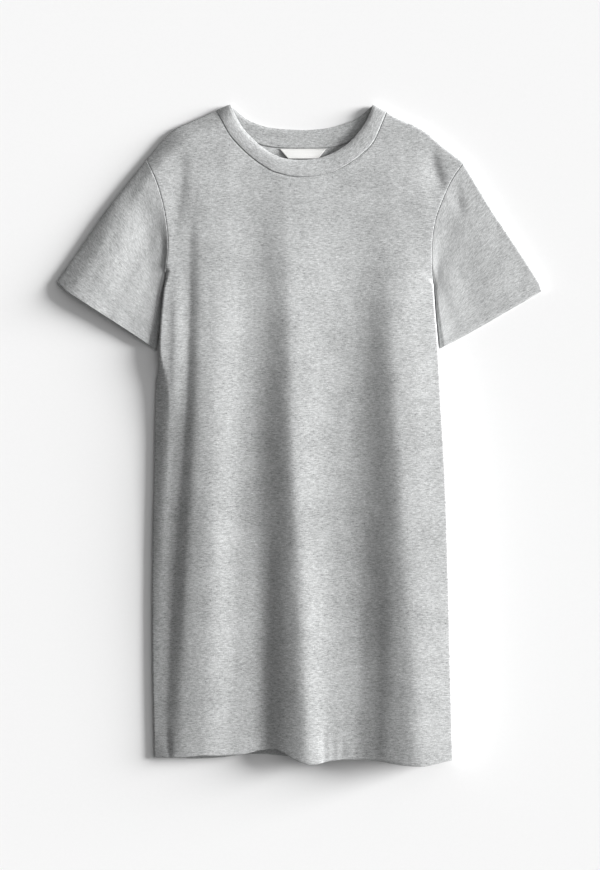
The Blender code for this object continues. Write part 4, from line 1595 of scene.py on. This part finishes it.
STITCH_NODES = {
    "start": "NodeGroupInput",
    "curve": "GeometryNodeMeshToCurve",
    "spaced": "GeometryNodeResampleCurve",
    "tangent": "GeometryNodeInputTangent",
    "turn": "FunctionNodeAlignRotationToVector",
    "ball": "GeometryNodeMeshUVSphere",
    "soft": "GeometryNodeSetShadeSmooth",
    "vary": "FunctionNodeRandomValue",
    "own": "ShaderNodeMath",
    "size": "ShaderNodeCombineXYZ",
    "laid": "GeometryNodeInstanceOnPoints",
    "real": "GeometryNodeRealizeInstances",
    "dressed": "GeometryNodeSetMaterial",
    "end": "NodeGroupOutput",
}
STITCH_LINKS = (
    ("start", "Geometry", "curve", "Mesh"),
    ("curve", "Curve", "spaced", "Curve"),
    ("start", "Pitch", "spaced", "Length"),
    ("spaced", "Curve", "laid", "Points"),
    ("tangent", "Tangent", "turn", "Vector"),
    ("turn", "Rotation", "laid", "Rotation"),
    ("ball", "Mesh", "soft", "Geometry"),
    ("soft", "Geometry", "laid", "Instance"),
    ("start", "Stitch length", "own", 0),
    ("vary", 1, "own", 1),
    ("own", 0, "size", "X"),
    ("start", "Thread thickness", "size", "Y"),
    ("start", "Thread thickness", "size", "Z"),
    ("size", "Vector", "laid", "Scale"),
    ("laid", "Instances", "real", "Geometry"),
    ("real", "Geometry", "dressed", "Geometry"),
    ("start", "Thread", "dressed", "Material"),
    ("dressed", "Geometry", "end", "Geometry"),
)


@dataclass
class StitchRows:
    """Rows of straight stitches that Geometry Nodes lay along lines on the cloth."""

    name: str
    lines: list[tuple[Array, bool]]
    pitch: float = 3.0
    length: float = 2.3
    thickness: float = 0.45
    length_range: tuple[float, float] = (0.9, 1.06)
    sides: int = 6
    rings: int = 5
    seed: int = 11
    slot: str = "jersey"

    def path_mesh(self) -> bpy.types.Mesh:
        """The lines as loose edges, in metres; a line with True is closed.

        Returns:
            A mesh without faces.
        """
        vertices = []
        edges = []
        for points, closed in self.lines:
            start = len(vertices)
            vertices += (points * MM).tolist()
            edges += [(start + k, start + k + 1) for k in range(len(points) - 1)]
            if closed:
                edges.append((start + len(points) - 1, start))
        mesh = bpy.data.meshes.new(f"{self.name}_path")
        mesh.from_pydata(vertices, edges, [])
        return mesh

    def tree(self) -> bpy.types.NodeTree:
        """Geometry Nodes that set one stitch at each pitch, turned along the line.

        Returns:
            The tree, with the pitch, the stitch and the thread as its inputs.
        """
        tree = bpy.data.node_groups.new(f"{self.name}_nodes", "GeometryNodeTree")
        face = tree.interface
        face.new_socket("Geometry", in_out="INPUT", socket_type="NodeSocketGeometry")
        for name in ("Pitch", "Stitch length", "Thread thickness"):
            face.new_socket(name, in_out="INPUT", socket_type="NodeSocketFloat")
        face.new_socket("Thread", in_out="INPUT", socket_type="NodeSocketMaterial")
        face.new_socket("Geometry", in_out="OUTPUT", socket_type="NodeSocketGeometry")
        nodes = {name: tree.nodes.new(kind) for name, kind in STITCH_NODES.items()}
        nodes["spaced"].mode = "LENGTH"
        nodes["turn"].axis = "X"
        nodes["own"].operation = "MULTIPLY"
        shortest, longest = self.length_range
        values = {"ball": {"Segments": self.sides, "Rings": self.rings, "Radius": 0.5},
                  "vary": {2: shortest, 3: longest, "Seed": self.seed}}
        for name, sockets in values.items():
            for socket, value in sockets.items():
                nodes[name].inputs[socket].default_value = value
        for origin, output, target, socket in STITCH_LINKS:
            tree.links.new(nodes[origin].outputs[output], nodes[target].inputs[socket])
        return tree

    def build(self, thread: bpy.types.Material) -> bpy.types.Object:
        """The rows as one plain mesh.

        Args:
            thread: finish of the stitches.

        Returns:
            The piece, riding on the dress.
        """
        carrier = placed(f"{self.name}_carrier", self.path_mesh())
        tree = self.tree()
        modifier = carrier.modifiers.new("Stitches", "NODES")
        modifier.node_group = tree
        values = {"Pitch": self.pitch * MM, "Stitch length": self.length * MM,
                  "Thread thickness": self.thickness * MM, "Thread": thread}
        for item in tree.interface.items_tree:
            if item.in_out == "INPUT" and item.name in values:
                modifier[item.identifier] = values[item.name]
        ready = carrier.evaluated_get(bpy.context.evaluated_depsgraph_get())
        mesh = bpy.data.meshes.new_from_object(ready)
        mesh.name = self.name
        carrier.modifiers.remove(modifier)
        bpy.data.objects.remove(carrier, do_unlink=True)
        piece = placed(self.name, mesh)
        declare(piece)
        return piece


# Studio

@dataclass(frozen=True)
class Sun:
    """A distant light: its degrees above the floor, its turn from the right to the neck, and its width."""

    name: str
    strength: float
    elevation: float
    turn: float
    angle: float

    def build(self) -> None:
        """Add the light to the scene."""
        light = bpy.data.lights.new(self.name, "SUN")
        light.energy = self.strength
        light.angle = math.radians(self.angle)
        up = math.radians(self.elevation)
        way = math.radians(self.turn)
        towards = Vector((math.cos(up) * math.cos(way), math.cos(up) * math.sin(way), math.sin(up)))
        placed(self.name, light).rotation_euler = towards.to_track_quat("Z", "Y").to_euler()


@dataclass
class Studio:
    """Pale floor, one large soft light low on the right, a wide fill from above, and the camera."""

    camera_height: float = 3.238
    lens: float = 100.0
    middle_y: float = -0.002
    floor_half: float = 30.0
    floor_drop: float = 0.0004
    far_end: float = 50.0
    key: Sun = Sun("key_light", strength=9.85, elevation=13.0, turn=12.0, angle=22.0)
    fill: Sun = Sun("fill_light", strength=1.12, elevation=38.0, turn=15.0, angle=90.0)
    sky: float = 0.125

    def floor(self) -> bpy.types.Object:
        """The floor, just under the dress.

        Returns:
            The floor, which belongs to the stage.
        """
        half = self.floor_half
        mesh = bpy.data.meshes.new("floor")
        plan = ((-half, -half), (half, -half), (half, half), (-half, half))
        mesh.from_pydata([(x, y, -self.floor_drop) for x, y in plan], [], [(0, 1, 2, 3)])
        mesh.materials.append(PaleFloor().material())
        item = placed("floor", mesh)
        return item

    def build(self) -> None:
        """Set up floor, lights, sky and camera."""
        scene = bpy.context.scene
        self.floor()
        self.key.build()
        self.fill.build()
        world = bpy.data.worlds.new("studio")
        world.use_nodes = True
        back = world.node_tree.nodes["Background"]
        back.inputs["Color"].default_value = (1.0, 1.0, 1.0, 1.0)
        back.inputs["Strength"].default_value = self.sky
        scene.world = world
        scene.view_settings.view_transform = "Standard"
        camera = bpy.data.cameras.new("camera")
        camera.lens = self.lens
        camera.clip_end = self.far_end
        scene.camera = placed("camera", camera)
        scene.camera.location = (0.0, self.middle_y, self.camera_height)


# The dress

LEFT_SLEEVE_ROWS = Table(SLEEVE_COLUMNS, (
    (0.0, 9.0, 9.6, 9.0, 8.4, 7.6),
    (0.35, 11.0, 12.0, 10.4, 8.6, 7.4),
    (0.7, 10.5, 12.5, 10.2, 8.4, 6.8),
    (1.0, 10.0, 12.2, 10.0, 8.2, 6.4),
))
RIGHT_SLEEVE_ROWS = Table(SLEEVE_COLUMNS, (
    (0.0, 8.6, 8.9, 8.7, 8.4, 8.2),
    (0.35, 8.6, 9.2, 9.0, 10.2, 11.6),
    (0.7, 8.4, 9.2, 9.0, 10.4, 12.4),
    (1.0, 8.4, 9.0, 8.9, 10.2, 12.2),
))
LEFT_SLEEVE_FOLD = Line(((-205.0, 365.8), (-227.3, 338.3), (-260.0, 296.6), (-291.3, 251.0),
                         (-320.4, 209.0), (-324.6, 201.7)))
LEFT_SLEEVE_HEM = Line(((-324.6, 201.7), (-310.9, 189.3), (-287.4, 173.8), (-246.6, 147.6),
                        (-210.4, 124.0), (-192.6, 110.6)))
RIGHT_SLEEVE_FOLD = Line(((218.8, 362.5), (231.0, 341.4), (255.5, 301.3), (287.2, 253.7),
                          (318.2, 205.8), (324.6, 191.0)))
RIGHT_SLEEVE_HEM = Line(((324.6, 191.0), (282.7, 168.6), (260.8, 156.3), (224.8, 135.3),
                         (187.8, 113.6)))
LEFT_SLEEVE_CREASES = (
    Crease(((-216.0, 332.0), (-210.0, 305.0), (-206.0, 275.0), (-204.0, 240.0), (-204.0, 190.0)),
           -2.8, 15.0, 36.0),
    Crease(((-215.0, 345.0), (-240.0, 290.0), (-262.0, 240.0)), -0.8, 8.0, 12.0),
)
RIGHT_SLEEVE_CREASES = (
    Crease(((196.0, 362.0), (207.0, 324.0), (216.0, 288.0)), -2.0, 7.0, 14.0),
)


@dataclass
class Dress:
    """All the pieces of the dress, built in the order in which they are sewn."""

    form: DressForm = field(default_factory=DressForm)
    hem_rows: tuple[float, float] = (19.5, 24.5)
    topstitch: float = 4.2

    def build(self) -> None:
        """Build, dress and declare every piece."""
        jersey = HeatherJersey("heather_jersey").material()
        band_jersey = HeatherJersey("heather_band", level=0.46).material()
        thread = SewingThread("grey_thread", (0.50, 0.51, 0.51)).material()
        neck = self.form.neck_ring()
        arms = {hand: self.form.armhole_ring(hand) for hand in Hand}

        front = BodyPanel("front", Layer.UPPER, self.form, neck, arms, 190, 34, (0.45, 0.90), 0.36)
        back = BodyPanel("back", Layer.LOWER, self.form, neck, arms, 96, 20, (0.43, 0.90), 0.35)
        left = Sleeve(Hand.LEFT, self.form, arms[Hand.LEFT], LEFT_SLEEVE_FOLD, LEFT_SLEEVE_HEM,
                      LEFT_SLEEVE_ROWS, LEFT_SLEEVE_CREASES, 10.5, outer_turn=26.0, inner_turn=4.5,
                      fold_drop=1.9, underarm_clear=-0.6, seam_blend=26.0, cuff_show=0.0)
        right = Sleeve(Hand.RIGHT, self.form, arms[Hand.RIGHT], RIGHT_SLEEVE_FOLD, RIGHT_SLEEVE_HEM,
                       RIGHT_SLEEVE_ROWS, RIGHT_SLEEVE_CREASES, 0.0)
        neck_lines = []
        for part in (front, back, left, right):
            piece, grid = part.build(jersey)
            tube = grid.looped
            rows = [(grid.line_at(distance, from_last_row=tube), tube) for distance in self.hem_rows]
            hem = StitchRows(f"{part.name}_hem_stitches", rows).build(thread)
            if not tube:
                neck_lines.append((self.neck_line(grid, part), False))

        band = Neckband(self.form, neck)
        piece = band.build(band_jersey)
        stitches = StitchRows("neck_topstitches", neck_lines, slot="neckband_jersey").build(thread)

        label = Label()
        label.build(WovenLabel().material())

    def neck_line(self, grid: ClothGrid, panel: BodyPanel) -> Array:
        """Points of a panel's topstitch, beside the neckline seam."""
        line = grid.line_at(self.topstitch, from_last_row=True)
        return line[panel.shoulder_spans:len(line) - panel.shoulder_spans]


def main() -> None:
    """Build the dress and its studio, and report each piece."""
    logging.basicConfig(level=logging.INFO, format="%(message)s")
    Studio().build()
    Dress().build()


if __name__ == "__main__":
    main()
